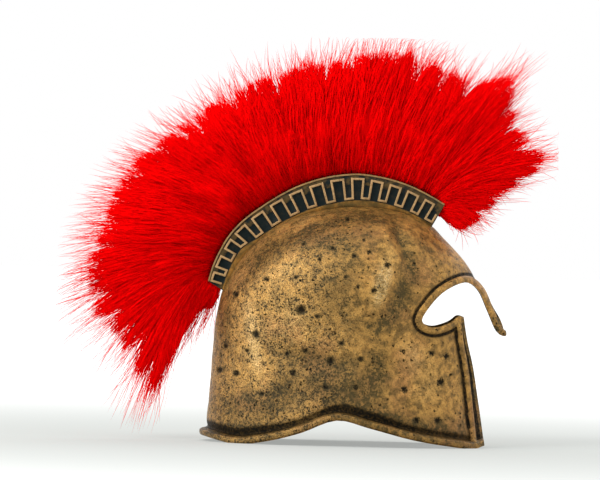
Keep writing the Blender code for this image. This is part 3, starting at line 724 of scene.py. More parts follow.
class Nodes:
    """Short calls that add nodes to a material or a world."""

    def __init__(self, owner, shader="Principled BSDF", place="Object"):
        owner.use_nodes = True
        self.owner = owner
        self.tree = owner.node_tree
        self.shader = self.tree.nodes[shader]
        self.place = self.tree.nodes.new("ShaderNodeTexCoord").outputs[place]

    def add(self, kind, sockets=None, **settings):
        """A node with its settings and with values or links on its sockets."""
        node = self.tree.nodes.new("ShaderNode" + kind)
        for name, value in settings.items():
            setattr(node, name, value)
        for key, value in (sockets or {}).items():
            if isinstance(value, bpy.types.NodeSocket):
                self.tree.links.new(value, node.inputs[key])
            else:
                node.inputs[key].default_value = value
        return node

    def noise(self, scale, detail=4.0, roughness=0.6, vector=None):
        """Noise from 0 to 1 on Object coordinates."""
        return self.add("TexNoise", {"Vector": vector or self.place, "Scale": scale, "Detail": detail,
                                     "Roughness": roughness}).outputs["Fac"]

    def ramp(self, value, low, high, to_low=0.0, to_high=1.0, way="SMOOTHSTEP"):
        """The value mapped from low..high to to_low..to_high, held at both ends."""
        return self.add("MapRange", {"Value": value, "From Min": low, "From Max": high, "To Min": to_low,
                                     "To Max": to_high}, interpolation_type=way).outputs["Result"]

    def math(self, operation, first, second=0.0):
        """One sum."""
        return self.add("Math", {0: first, 1: second}, operation=operation).outputs[0]

    def times(self, first, second):
        """Both multiplied."""
        return self.math("MULTIPLY", first, second)

    def plus(self, first, second):
        """Both added."""
        return self.math("ADD", first, second)

    def most(self, first, second):
        """The larger one."""
        return self.math("MAXIMUM", first, second)

    def mix(self, share, first, second):
        """Two colours mixed, each a socket or its red, green and blue."""
        first, second = [colour if isinstance(colour, bpy.types.NodeSocket) else (*colour, 1)
                         for colour in (first, second)]
        return self.add("Mix", {0: share, 6: first, 7: second}, data_type="RGBA").outputs[2]

    def attribute(self, name):
        """A number stored on the mesh."""
        return self.add("Attribute", attribute_name=name).outputs["Fac"]

    def bump(self, height, strength, distance, normal=None):
        """A normal bent by a height."""
        sockets = {"Height": height, "Strength": strength, "Distance": distance}
        if normal:
            sockets["Normal"] = normal
        return self.add("Bump", sockets).outputs["Normal"]

    def link(self, output, socket_name):
        """Feeds a socket of the shader."""
        self.tree.links.new(output, self.shader.inputs[socket_name])

    def set(self, **values):
        """Sets constant sockets of the shader."""
        for name, value in values.items():
            self.shader.inputs[name.replace("_", " ")].default_value = value


def bronze_material(settings):
    """Aged bronze: speckled warm metal with dark stains and painted shade, painted shade in the grooves,
    painted highlights and glints, pale flecks and black pits.
    """
    m = Nodes(bpy.data.materials.new("aged_bronze"))
    groove_shade, inside, stain_shade_highlight, pit, rough = [m.attribute(name) for name in SHELL_ATTRIBUTES]
    cloud = m.noise(30.0, 4.0, 0.6)
    mottle = m.noise(150.0, 5.0, 0.65)
    grain = m.noise(430.0, 4.0, 0.75)
    fine = m.noise(900.0, 2.0, 0.7)
    cells = m.add("TexVoronoi", {"Vector": m.place, "Scale": 260.0, "Randomness": 1.0})
    pick = m.add("SeparateColor", {0: cells.outputs["Color"]}).outputs
    size = m.ramp(pick[1], 0.0, 1.0, 0.05, 0.36)
    ragged = m.plus(cells.outputs["Distance"], m.ramp(fine, 0.35, 0.65, -0.16, 0.16))
    shape = m.ramp(m.math("SUBTRACT", ragged, size), -0.12, 0.04, 1.0, 0.0)
    often = m.ramp(m.plus(rough, m.ramp(cloud, 0.38, 0.62, -0.45, 0.35)), 0.0, 1.0, 0.90, 0.30)
    blotch = m.noise(75.0, 3.0, 0.6)
    specks = m.times(shape, m.math("GREATER_THAN", pick[0], often))
    # Bright marks are painted highlights and glare; dark marks are stains with painted shade
    worn = m.most(m.times(stain_shade_highlight, -1.0), 0.0)
    film = m.most(stain_shade_highlight, 0.0)
    colour = m.mix(m.ramp(cloud, 0.34, 0.66), settings.bronze_deep, settings.bronze_mid)
    colour = m.mix(m.ramp(mottle, 0.36, 0.66, 0.0, 0.75), colour, settings.bronze_light)
    colour = m.mix(m.ramp(m.noise(17.0, 3.0, 0.6), 0.48, 0.66, 0.0, 0.45), colour, settings.bronze_warm)
    colour = m.mix(m.times(worn, m.ramp(grain, 0.38, 0.56)), colour, settings.bronze_highlight_and_fleck)
    # Painted glints within the painted highlights
    painted_glint = m.times(m.ramp(worn, 0.25, 0.80), m.ramp(fine, 0.50, 0.62))
    colour = m.mix(painted_glint, colour, settings.bronze_glint)
    patchy = m.times(m.ramp(mottle, 0.62, 0.36), m.ramp(blotch, 0.62, 0.38, 0.20, 0.65))
    # Dark marks laid as an olive film: stains with painted shade, over random patches
    spread = m.plus(m.times(film, m.ramp(grain, 0.57, 0.43, 0.30, 1.20)), patchy)
    colour = m.mix(m.times(spread, 0.85), colour, settings.patina_and_shade)
    where = m.times(m.ramp(rough, 0.0, 1.0, 0.40, 1.0), m.ramp(blotch, 0.60, 0.42, 0.35, 1.15))
    gritty = m.times(m.ramp(grain, 0.50, 0.42), where)
    coarse = m.ramp(rough, 0.35, 1.0, 0.50, 1.0)
    gritty = m.most(gritty, m.times(m.ramp(fine, 0.47, 0.39), coarse))
    # Pale flecks, most at the rear, partly grain and partly painted glints
    fleck_and_glint = m.most(m.ramp(fine, 0.54, 0.61), m.ramp(grain, 0.53, 0.60))
    fleck_and_glint = m.times(fleck_and_glint, m.ramp(rough, 0.35, 1.0, 0.12, 0.70))
    fleck_and_glint = m.times(fleck_and_glint, m.math("SUBTRACT", 1.0, film))
    colour = m.mix(fleck_and_glint, colour, settings.bronze_highlight_and_fleck)
    grime = m.mix(m.ramp(rough, 0.35, 1.0, 0.0, 0.6), settings.patina_and_shade, settings.soot_and_groove_shade)
    colour = m.mix(gritty, colour, grime)
    # Painted shade in the grooves beside the raised border
    hollow = m.times(m.ramp(groove_shade, 0.10, 0.65), m.ramp(grain, 0.68, 0.45, 0.75, 1.0))
    tatter = m.plus(m.ramp(grain, 0.35, 0.65, -0.38, 0.38), m.ramp(fine, 0.35, 0.65, -0.20, 0.20))
    hole = m.times(m.ramp(m.plus(pit, tatter), 0.25, 0.75), m.ramp(pit, 0.0, 0.20))
    black = m.most(m.times(specks, 0.95), m.times(hole, 0.95))
    colour = m.mix(m.ramp(m.plus(pit, tatter), 0.0, 0.50, 0.0, 0.80), colour, settings.patina_and_shade)
    black = m.most(black, m.most(hollow, m.times(inside, 0.55)))
    colour = m.mix(black, colour, settings.soot_and_groove_shade)
    m.link(colour, "Base Color")
    m.link(m.ramp(black, 0.0, 1.0, 0.45, 0.05), "Metallic")
    smooth = m.times(m.ramp(grain, 0.30, 0.62), 0.14)
    m.link(m.math("SUBTRACT", 0.54, m.plus(smooth, m.times(worn, 0.14))), "Roughness")
    m.link(m.ramp(black, 0.0, 0.8, 0.30, 0.04), "Specular IOR Level")
    normal = m.bump(mottle, 0.55, 0.0014)
    normal = m.bump(m.times(grain, m.ramp(rough, 0.0, 1.0, 0.5, 1.3)), 0.75, 0.0010, normal)
    normal = m.bump(m.plus(specks, m.ramp(fine, 0.55, 0.42, 0.0, 1.2)), -0.7, 0.0005, normal)
    m.link(normal, "Normal")
    return m.owner


def rail_material(settings):
    """Dark rail: teal-black ground, worn pale gold on the raised lines and a brown margin."""
    m = Nodes(bpy.data.materials.new("dark_bronze"))
    side = m.math("ABSOLUTE", m.add("SeparateXYZ", {0: m.place}).outputs["Y"])
    grain = m.noise(420.0, 5.0, 0.7)
    mottle = m.noise(130.0, 4.0, 0.6)
    margin = m.ramp(side, *MARGIN_ZONE)
    line = m.ramp(side, *LINE_ZONE)
    wear = m.ramp(grain, 0.25, 0.60, 0.25, 1.0)
    recess = m.mix(m.ramp(mottle, 0.50, 0.70, 0.0, 0.15), settings.rail_ground, settings.rail_brown)
    brown = m.mix(m.ramp(mottle, 0.36, 0.62), settings.rail_ground, settings.rail_brown)
    ground = m.mix(m.ramp(side, *GROUND_ZONE), recess, brown)
    band = m.mix(m.ramp(m.noise(60.0), 0.35, 0.65), settings.rail_brown, settings.bronze_deep)
    colour = m.mix(margin, ground, m.mix(wear, settings.patina_and_shade, band))
    colour = m.mix(m.times(line, wear), colour, settings.rail_gold)
    m.link(colour, "Base Color")
    m.link(m.ramp(margin, 0.0, 1.0, 0.0, 0.65), "Metallic")
    m.link(m.ramp(grain, 0.3, 0.7, 0.50, 0.72), "Roughness")
    m.set(Specular_IOR_Level=0.15)
    m.link(m.bump(grain, 0.5, 0.0006), "Normal")
    return m.owner


def fur_material(settings, name, streaky):
    """Bright red hair with painted shade, darker in the depth of the fur, and streaked on the body under the
    hairs.
    """
    m = Nodes(bpy.data.materials.new(name))
    tone_and_shade = m.attribute("tone_and_shade")
    if streaky:
        along = m.add("CombineXYZ", {0: m.times(m.attribute("row"), 9.0), 1: m.attribute("reach")}).outputs[0]
        tone_and_shade = m.times(tone_and_shade, m.ramp(m.noise(5.0, 4.0, 0.7, along), 0.35, 0.65, 0.6, 1.2))
    m.link(m.mix(tone_and_shade, settings.fur_dark_and_shade, settings.fur_red), "Base Color")
    m.set(Roughness=0.8, Specular_IOR_Level=0.0)
    return m.owner


def rail_frame(station):
    """Points of the rail's outer arc at shares of its length, and the unit directions out of it."""
    place = station * RAIL_LENGTH
    point = np.stack([np.interp(place, RAIL_PLACES, RAIL_TABLE[:, axis]) for axis in (0, 1)], axis=-1)
    slope = np.gradient(RAIL_TABLE[:, :2], axis=0)
    along = np.stack([np.interp(place, RAIL_PLACES, slope[:, axis]) for axis in (0, 1)], axis=-1)
    along /= np.linalg.norm(along, axis=-1, keepdims=True)
    return point, np.stack([-along[..., 1], along[..., 0]], axis=-1)


def rail_point(place, depth):
    """Side view points at distances along the rail and depths below its outer arc."""
    place, depth = np.broadcast_arrays(place, depth)
    held = np.clip(place, 0.0, RAIL_LENGTH)
    point, out = rail_frame(held / RAIL_LENGTH)
    along = np.stack([out[..., 1], -out[..., 0]], axis=-1)
    return point + along * (place - held)[..., None] - out * depth[..., None]


def rail_margin(place):
    """How far below the outer arc the meander starts."""
    return np.interp(place, RAIL_PLACES, RAIL_TABLE[:, 2])


def meander_foot(place):
    """How far below the outer arc the meander ends."""
    return rail_margin(place) + np.interp(place, RAIL_PLACES, RAIL_TABLE[:, 3])


def rail_foot(place):
    """How far below the outer arc the rail's body reaches."""
    return RAIL_SINK + RAIL_SINK_EXTRA * np.sin(np.pi * place / RAIL_LENGTH)


def level(depth):
    """The same depth all along the rail."""
    return lambda place: 0.0 * place + depth


def rail_band(top_depth, bottom_depth, inset):
    """Side outline between two depths below the rail's arc, inset from its ends, the rear one slanted."""
    shares = np.linspace(0, 1, RAIL_STEPS + 1)
    outline = []
    for depth, order in ((top_depth, 1), (bottom_depth, -1)):
        start = inset - RAIL_REAR_SLANT * max(float(depth(0.0)), 0.0)
        places = (start + (RAIL_LENGTH - inset - start) * shares)[::order]
        outline.append(rail_point(places, depth(places)))
    return np.concatenate(outline)


def offset_path(path, distance):
    """The path moved to its left by the distance, with mitred corners."""
    ahead = np.diff(path, axis=0)
    ahead /= np.linalg.norm(ahead, axis=1, keepdims=True)
    left = np.stack([-ahead[:, 1], ahead[:, 0]], axis=1)
    moved = [path[0] + left[0] * distance]
    for corner, before, after in zip(path[1:-1], left, left[1:]):
        moved.append(corner + (before + after) * distance / (1 + before @ after))
    return np.array(moved + [path[-1] + left[-1] * distance])


def tooth_places():
    """Where each tooth of the meander starts and closes, and where the next one starts."""
    places = list(TOOTH_STARTS) + [RAIL_LENGTH - MEANDER_LINE]
    return [(start, start + (after - start) * TOOTH_SHARE, after) for start, after in zip(places, places[1:])]


def tooth_pockets():
    """Side outlines of the deeper recesses inside and between the teeth, out to the middle of the line."""
    pockets = []
    apart = MEANDER_LINE / 4
    for start, close, after in tooth_places():
        inside = (start, close, 0.0, MEANDER_LINE * POCKET_LOWER)
        between = (close, after, GAP_SHARE, 0.0)
        for first, last, upper, lower in (inside, between):
            across = np.linspace(first + apart, last - apart, POCKET_STEPS)
            leg = meander_foot(across) - rail_margin(across)
            top = rail_point(across, rail_margin(across) + leg * upper)
            foot = rail_point(across[::-1], (meander_foot(across) + lower)[::-1])
            pockets.append(np.concatenate([top, foot]))
    return pockets


def meander_outline():
    """Side outline of the meander's line: a square wave along the rail, thickened to both sides."""
    centre = []
    for start, close, last in tooth_places():
        for place, depths in ((start, (meander_foot, rail_margin)), (close, (rail_margin, meander_foot))):
            centre += [rail_point(place, depth(place)) for depth in depths]
    leg = meander_foot(last) - rail_margin(last)
    centre.append(rail_point(last, meander_foot(last)))
    centre.append(rail_point(last, rail_margin(last) + leg * LAST_LEG_SHARE))
    centre = np.array(centre)
    left, right = [offset_path(centre, side * MEANDER_LINE / 2) for side in (1, -1)]
    return np.concatenate([left, right[::-1]])


def fan_values(row):
    """Station, tip and fullness at fractional rows of the plume's fan."""
    index = row * CURVE_SAMPLES
    return [np.interp(index, np.arange(len(FAN_TABLE)), FAN_TABLE[:, column]) for column in range(4)]


def fur_place(row, reach, across):
    """Points of the plume: the fan's row, the share of the hair's length, and -1 to 1 over its thickness."""
    station, tip_x, tip_z, fullness = fan_values(row)
    root, out = rail_frame(station)
    rear = REAR_ROOT_DEPTH * (1 - smoothstep(*REAR_ROOT_ROWS, row))
    front = FRONT_ROOT_DEPTH * smoothstep(*FRONT_ROOT_ROWS, row)
    root = root - out * (ROOT_DEPTH + (rear + front))[..., None]
    tip = np.stack([tip_x, tip_z], axis=-1)
    length = np.linalg.norm(tip - root, axis=-1)
    control = root + out * (HAIR_BEND * fullness * length)[..., None]
    share = reach[..., None]
    flat = root * (1 - share) ** 2 + control * 2 * share * (1 - share) + tip * share ** 2
    shares, halves = np.array(FUR_SECTION).T
    half = np.interp(reach, shares, halves) * fullness
    return np.stack([flat[..., 0] + PLACE_X, across * half, flat[..., 1]], axis=-1)


def row_shares():
    """How much of the plume lies before each row of the fan, from 0 to 1."""
    tips = FAN_TABLE[::CURVE_SAMPLES, 1:3]
    roots = rail_frame(FAN_TABLE[::CURVE_SAMPLES, 0])[0]
    width = np.linalg.norm(np.diff(tips, axis=0), axis=1) + np.linalg.norm(np.diff(roots, axis=0), axis=1)
    return np.concatenate([[0.0], np.cumsum(width) / width.sum()])


def fur_lumps(row, reach):
    """Soft lumps of the fur's surface, long in the direction of the hair, from -1 to 1."""
    return (np.sin(6.1 * row + 2.0 * np.sin(3.0 * reach + row)) * 0.4
            + np.sin(13.7 * row + 5.0 * reach + 1.3) * 0.3 + np.sin(27.3 * row - 9.0 * reach + 0.4) * 0.3)


def fur_shade(row, reach):
    """Soft dark streaks at the middle of the hairs, from 0 to about a half."""
    streaks = (0.5 + 0.5 * np.sin(5.3 * row + 2.4 * np.sin(1.7 * row))) ** 5
    streaks = streaks + (0.5 + 0.5 * np.sin(11.9 * row + 1.5 * np.sin(2.9 * row) + 2.0)) ** 6
    middle = 0.36 + 0.14 * np.sin(4.1 * row)
    return 0.45 * np.minimum(streaks, 1) * np.exp(-((reach - middle) / 0.15) ** 2)


def core_mesh():
    """The closed body under the hairs, as thick as the fur's section."""
    rows = len(PLUME_FAN) - 1
    shares = row_shares()
    row = np.interp(np.linspace(0, 1, CORE_COLUMNS), shares, np.arange(rows + 1))[:, None]
    reach = np.linspace(0, CORE_REACH, CORE_STEPS)[None, :]
    row, reach = np.broadcast_arrays(row, reach)
    swell = CORE_SHARE * (1 + CORE_LUMPS * fur_lumps(row, reach) * np.minimum(reach * 6, 1))
    swell = swell * (1 - CORE_THINNING * smoothstep(0.55, 0.90, reach))
    jag = 1 + CORE_JAG * (fur_lumps(3.1 * row, 0 * reach) - 0.3) * reach ** 3
    tip = fur_place(row[:, :1], (CORE_REACH + CORE_TIP) * jag[:, -1:], np.zeros((CORE_COLUMNS, 1)))
    sides = [fur_place(row, reach * jag, side * swell) for side in (1, -1)]
    ring = np.concatenate([sides[0], tip, sides[1][:, ::-1]], axis=1)
    count = ring.shape[1]
    first = np.arange(count)
    around = np.roll(first, -1)
    quads = []
    for column in range(CORE_COLUMNS - 1):
        here, there = column * count, (column + 1) * count
        quads.append(np.stack([here + first, here + around, there + around, there + first], axis=-1))
    left = np.arange(CORE_STEPS)
    right = count - 1 - left
    for base, low, high in ((0, right, left), ((CORE_COLUMNS - 1) * count, left, right)):
        quads.append(base + np.stack([low[:-1], low[1:], high[1:], high[:-1]], axis=-1))
    quads = np.concatenate(quads)
    tips = np.array([[CORE_STEPS - 1, CORE_STEPS + 1, CORE_STEPS]])
    tips = np.concatenate([tips, tips[:, ::-1] + (CORE_COLUMNS - 1) * count])
    triangles = np.concatenate([quads[:, [0, 1, 2]], quads[:, [0, 2, 3]], tips])
    mesh = triangle_mesh("plume_core", ring.reshape(-1, 3), triangles)
    reach = np.concatenate([reach, np.full((CORE_COLUMNS, 1), 1.0), reach[:, ::-1]], axis=1)
    row = np.broadcast_to(row[:, :1], reach.shape)
    set_attribute(mesh, "row", row)
    set_attribute(mesh, "reach", reach)
    # Darker near the root and in the dark streaks: painted shade in the depth of the fur
    tone_and_shade = 0.50 + 0.50 * smoothstep(0.10, 0.6, reach) + 0.10 * fur_lumps(row, reach)
    set_attribute(mesh, "tone_and_shade", tone_and_shade * (1 - fur_shade(row, reach)))
    return mesh


def tuft_reach(row):
    """How much further the fur reaches in the pointed tufts of its upper front."""
    often, first, amount = TUFTS
    peaks = np.maximum(np.sin(2 * np.pi * (often * row + first)), 0) ** 2
    return amount * peaks * smoothstep(*TUFT_FROM, row) * (1 - smoothstep(*TUFT_TO, row))


def fur_points(random, count):
    """Rings of centre points for many hairs that gather into clumps, with how light each ring is, which
    carries painted shade, and thickness.
    """
    rows = len(PLUME_FAN) - 1
    shares = row_shares()
    fixed = np.random.default_rng(FUR_SEED)
    clump_row = np.interp(fixed.random(CLUMPS), shares, np.arange(rows + 1))
    clump_end = fixed.uniform(*CLUMP_ENDS, CLUMPS)
    clump_side = fixed.choice((-1.0, 1.0), CLUMPS)
    clump_tone = fixed.random(CLUMPS) ** 0.7
    clump_phase = fixed.uniform(0, 2 * np.pi, CLUMPS)
    clump_reach = fixed.uniform(*CLUMP_REACH, CLUMPS) + tuft_reach(clump_row)
    row = np.interp(random.random(count), shares, np.arange(rows + 1))
    outer = random.random(count) < OUTER_SHARE
    side = np.where(random.random(count) < 0.5, -1.0, 1.0)
    across = side * np.where(outer, random.random(count) ** 0.35, 1.0 - 0.2 * random.random(count) ** 2)
    start = np.where(outer, random.uniform(*OUTER_START, count), random.uniform(*INNER_START, count))
    start = np.maximum(start, 0.0)
    end = np.minimum(start + random.uniform(*INNER_SPAN, count), 1.0)
    end = np.where(outer, random.uniform(*OUTER_END, count), end)
    apart = np.hypot((row[:, None] - clump_row) * ROW_SPACING, (end[:, None] - clump_end) * HAIR_LENGTH)
    clump = np.argmin(apart + (side[:, None] != clump_side), axis=1)
    end = np.where(outer, end * clump_reach[clump], end)
    stray = outer & (random.random(count) < STRAY_SHARE)
    longer = LOWEST_LONGER * (row < 0.8) + REAR_LONGER * (row > 2.5) * (row < 6.5)
    end = np.where(stray, random.uniform(*STRAY_END, count) + longer, end)
    gather = np.where(outer, random.uniform(*OUTER_GATHER, count), random.uniform(*INNER_GATHER, count))
    gather = np.where(stray, STRAY_GATHER, gather)
    wild = np.where(stray, STRAY_DRIFT, np.where(outer, OUTER_DRIFT, INNER_DRIFT))
    drift = random.normal(0, 1.0, (count, 3)) * wild[:, None]
    curl = random.normal(0, 1.0, (count, 3)) * np.where(stray, STRAY_CURL, HAIR_CURL)[:, None]
    phase = clump_phase[clump] + random.normal(0, 0.6, count)
    lift = random.uniform(0.02, 0.16, count)
    centres, shade_tones = [], []
    for along in RING_PLACES:
        reach = start + (end - start) * along
        here = row + (clump_row[clump] - row) * gather * along ** 1.3
        here = np.clip(here + 0.035 * np.sin(4.0 * along + phase) * along, 0, rows)
        places = fur_place(here, reach, across * (0.88 + lift * along))
        places = places + drift * along ** 2 + curl * math.sin(math.pi * along)
        centres.append(np.clip(places, *FUR_LIMITS))
        # Darker towards the roots: painted shade in the depth of the fur
        depth = 0.70 + 0.30 * smoothstep(0.0, 0.30, reach)
        shade_tones.append(depth * (0.80 + 0.20 * along) * (1 - fur_shade(here, reach)))
    # Inner hairs darker than outer ones: painted shade inside the fur, over lighter and darker clumps at
    # random
    strand = 0.62 + 0.34 * clump_tone[clump] + 0.08 * random.random(count)
    strand = np.where(outer, 0.80 + 0.20 * clump_tone[clump] + 0.12 * random.random(count), strand)
    tone_and_shade = np.clip(np.array(shade_tones) * strand, 0, 1)
    return np.array(centres), tone_and_shade, np.where(stray, STRAY_WIDTH, np.where(outer, OUTER_WIDTH, 1.0))


def strand_mesh(name, centres, tone_and_shade, thickness, width):
    """One mesh of closed three-sided hairs that taper to a point."""
    rings, count = centres.shape[:2]
    along = np.gradient(centres, axis=0)
    along /= np.maximum(np.linalg.norm(along, axis=-1, keepdims=True), 1e-9)
    across = np.cross(along, (0.31, 0.88, 0.35))
    across /= np.linalg.norm(across, axis=-1, keepdims=True)
    other = np.cross(along, across)
    taper = np.array(RING_WIDTHS)[:, None] * width * thickness
    points = []
    for side in range(STRAND_SIDES):
        angle = 2 * np.pi * side / STRAND_SIDES
        offset = across * math.cos(angle) + other * math.sin(angle)
        points.append(centres[:-1] + offset[:-1] * taper[..., None] / 2)
    body = np.stack(points, axis=2).transpose(1, 0, 2, 3).reshape(count, -1, 3)
    vertices = np.concatenate([body, centres[-1][:, None, :]], axis=1)
    per_hair = vertices.shape[1]
    faces = [(0, 2, 1)]
    for ring in range(rings - 2):
        for side in range(STRAND_SIDES):
            a = ring * STRAND_SIDES + side
            b = ring * STRAND_SIDES + (side + 1) % STRAND_SIDES
            faces += [(a, b, b + STRAND_SIDES), (a, b + STRAND_SIDES, a + STRAND_SIDES)]
    last = (rings - 2) * STRAND_SIDES
    faces += [(last + side, last + (side + 1) % STRAND_SIDES, per_hair - 1) for side in range(STRAND_SIDES)]
    corners = np.array(faces)[None] + (np.arange(count) * per_hair)[:, None, None]
    mesh = triangle_mesh(name, vertices.reshape(-1, 3), corners.reshape(-1, 3))
    shade_tones = np.concatenate([np.repeat(tone_and_shade[:-1].T, STRAND_SIDES, axis=1), tone_and_shade[-1][:, None]], axis=1)
    set_attribute(mesh, "tone_and_shade", shade_tones)
    return mesh


def triangle_mesh(name, vertices, triangles):
    """A mesh of triangles from arrays."""
    mesh = bpy.data.meshes.new(name)
    mesh.vertices.add(len(vertices))
    mesh.vertices.foreach_set("co", np.asarray(vertices, np.float32).ravel())
    mesh.loops.add(triangles.size)
    mesh.loops.foreach_set("vertex_index", triangles.ravel().astype(np.int32))
    mesh.polygons.add(len(triangles))
    mesh.polygons.foreach_set("loop_start", np.arange(0, triangles.size, 3, dtype=np.int32))
    mesh.update(calc_edges=True)
    mesh.validate()
    return mesh


def colour_setting(name, description, default):
    """A colour that a user can change."""
    return bpy.props.FloatVectorProperty(name=name, description=description, subtype="COLOR", size=3,
                                         min=0.0, max=1.0, default=default)


class HelmetSettings(bpy.types.PropertyGroup):
    """Colours and sizes of the helmet."""
    # Colour of the painted highlights and glare, also of pale flecks that are partly painted glints
    bronze_highlight_and_fleck: colour_setting(
        "Worn bronze", "Bright yellow bronze where the surface is worn", (0.96, 0.60, 0.205))
    # Colour of painted glints within the painted highlights
    bronze_glint: colour_setting(
        "Bronze flecks", "Palest flecks of the most worn places", (1.0, 0.78, 0.42))
    bronze_light: colour_setting("Light bronze", "Paler flecks of the bronze", (0.70, 0.38, 0.090))
    bronze_mid: colour_setting("Bronze", "Warm golden brown of the bronze", (0.50, 0.248, 0.056))
    bronze_deep: colour_setting(
        "Deep bronze", "Browner bronze between the lighter places", (0.31, 0.148, 0.031))
    bronze_warm: colour_setting("Warm bronze", "Redder bronze in broad patches", (0.50, 0.205, 0.080))
    # Olive film colour of hollows and dark patches, also used to lay the painted shade of the dark marks
    patina_and_shade: colour_setting("Patina", "Olive brown film in hollows", (0.062, 0.043, 0.011))
    # Dark fill of specks and pits, also used for the painted shade in the grooves and a darker inside
    soot_and_groove_shade: colour_setting("Pits", "Dark fill of specks and pits", (0.006, 0.005, 0.003))
    rail_ground: colour_setting(
        "Rail ground", "Teal black ground behind the meander", (0.0025, 0.0075, 0.0078))
    rail_brown: colour_setting("Rail brown", "Brown film on the rail's ground", (0.080, 0.050, 0.015))
    rail_gold: colour_setting("Rail gold", "Pale gold on the raised lines", (0.44, 0.285, 0.135))
    fur_red: colour_setting("Fur", "Bright red of the fur", (1.0, 0.0010, 0.0014))
    # Dark red for the painted shade in the depth of the fur and between clumps, and for darker clumps
    fur_dark_and_shade: colour_setting("Fur shade", "Deep red inside the clumps", (0.45, 0.0, 0.001))
    hair_width: bpy.props.FloatProperty(
        name="Hair width", description="Width of one hair near its root", subtype="DISTANCE",
        unit="LENGTH", default=0.00080, min=0.0001, max=0.002)


class HELMET_OT_shell(bpy.types.Operator):
    """Makes the bronze shell with its raised border, dents and hollow inside"""
    bl_idname = "helmet.shell"
    bl_label = "Bronze Shell"

    def execute(self, context):
        settings = context.scene.helmet
        outer = wall_sheet("helmet_shell", FINE_COLUMNS, FINE_ROWS, 0.0, True, SKIN_ROWS)
        inner_rows = INNER_RIM_ROWS + SKIN_ROWS[2:]
        inner = wall_sheet("inner_wall", INNER_COLUMNS, INNER_ROWS, -WALL, False, inner_rows)
        for cutter in (inner, prism("opening_cutter", opening_outline(), SIDE_REACH)):
            apply_boolean(outer, "DIFFERENCE", cutter)
        points = vertex_array(outer.data)
        normals = np.empty(len(points) * 3, np.float32)
        outer.data.vertices.foreach_get("normal", normals)
        normals = normals.reshape(-1, 3)
        x, z = points[:, 0], points[:, 2]
        inside = (normals * (points - ROOM_MIDDLE)).sum(axis=1) < 0
        relief, edge = edge_relief(x, z)
        gap, pit_depth = pit_gaps(x, z)
        near_side = np.where(points[:, 1] < 0, 1.0, FAR_SIDE_PITS)
        pit = np.where(inside, 0, near_side * np.clip(1.25 - gap, 0, 1))
        soft = (unevenness(points) - crease_depth(x, z)) * smoothstep(0.004, 0.016, edge)
        off_ridge = smoothstep(0.0165, 0.022, np.abs(points[:, 1]))
        soft = soft * np.maximum(off_ridge, 1 - smoothstep(0.13, 0.15, z))
        sunk = pit_depth * smoothstep(0.1, 1.0, pit) * (1 - inside)
        lip = pit_depth * PIT_LIP * (pit > 0) * (pit < PIT_LIP)
        lift = np.where(inside, 0, soft) - sunk + lip
        flange = (x > cheek_edge_x(z) - FLANGE_TOP) & (z < CHEEK_EDGE[-1][1]) & (z > rim_height(x) + RIM_BEAD)
        # Stains with painted shade, and painted highlights, from the marks measured in the picture
        stain_shade_highlight = stain_shade_and_highlight(x, z)
        # Painted shade in the grooves beside the raised border: varied along the rim, weaker on the cheek
        # flange
        by_rim = (z < rim_height(x) + RIM_RECESS) & (x < cheek_edge_x(z) - RIM_BEAD)
        share = np.where(by_rim, rim_shade(x), 1.0)
        groove_shade = np.clip(-relief / GROOVE_DEPTH, 0, 1) * np.where(flange, FLANGE_GROOVE_SHADE, share)
        # The rim bead is made darker, and the inward-turned cheek flange gets painted shade
        stain_shade_highlight = np.clip(stain_shade_highlight + RIM_BEAD_DARKENING * (z < rim_height(x) + RIM_BEAD) + FLANGE_SHADE * flange, -1, 1)
        rear = 1 - smoothstep(-0.020, 0.075, x)
        rough = np.clip(0.35 + 0.65 * rear * (1 - 0.5 * smoothstep(0.15, 0.21, z)), 0, 1)
        for name, values in zip(SHELL_ATTRIBUTES, (groove_shade, inside, stain_shade_highlight, pit, rough)):
            set_attribute(outer.data, name, values)
        set_vertices(outer.data, points + normals * lift[:, None] + (PLACE_X, 0.0, 0.0))
        finish_piece(outer, bronze_material(settings), ("shell",), SHELL_SMOOTH_DEG)
        return {"FINISHED"}


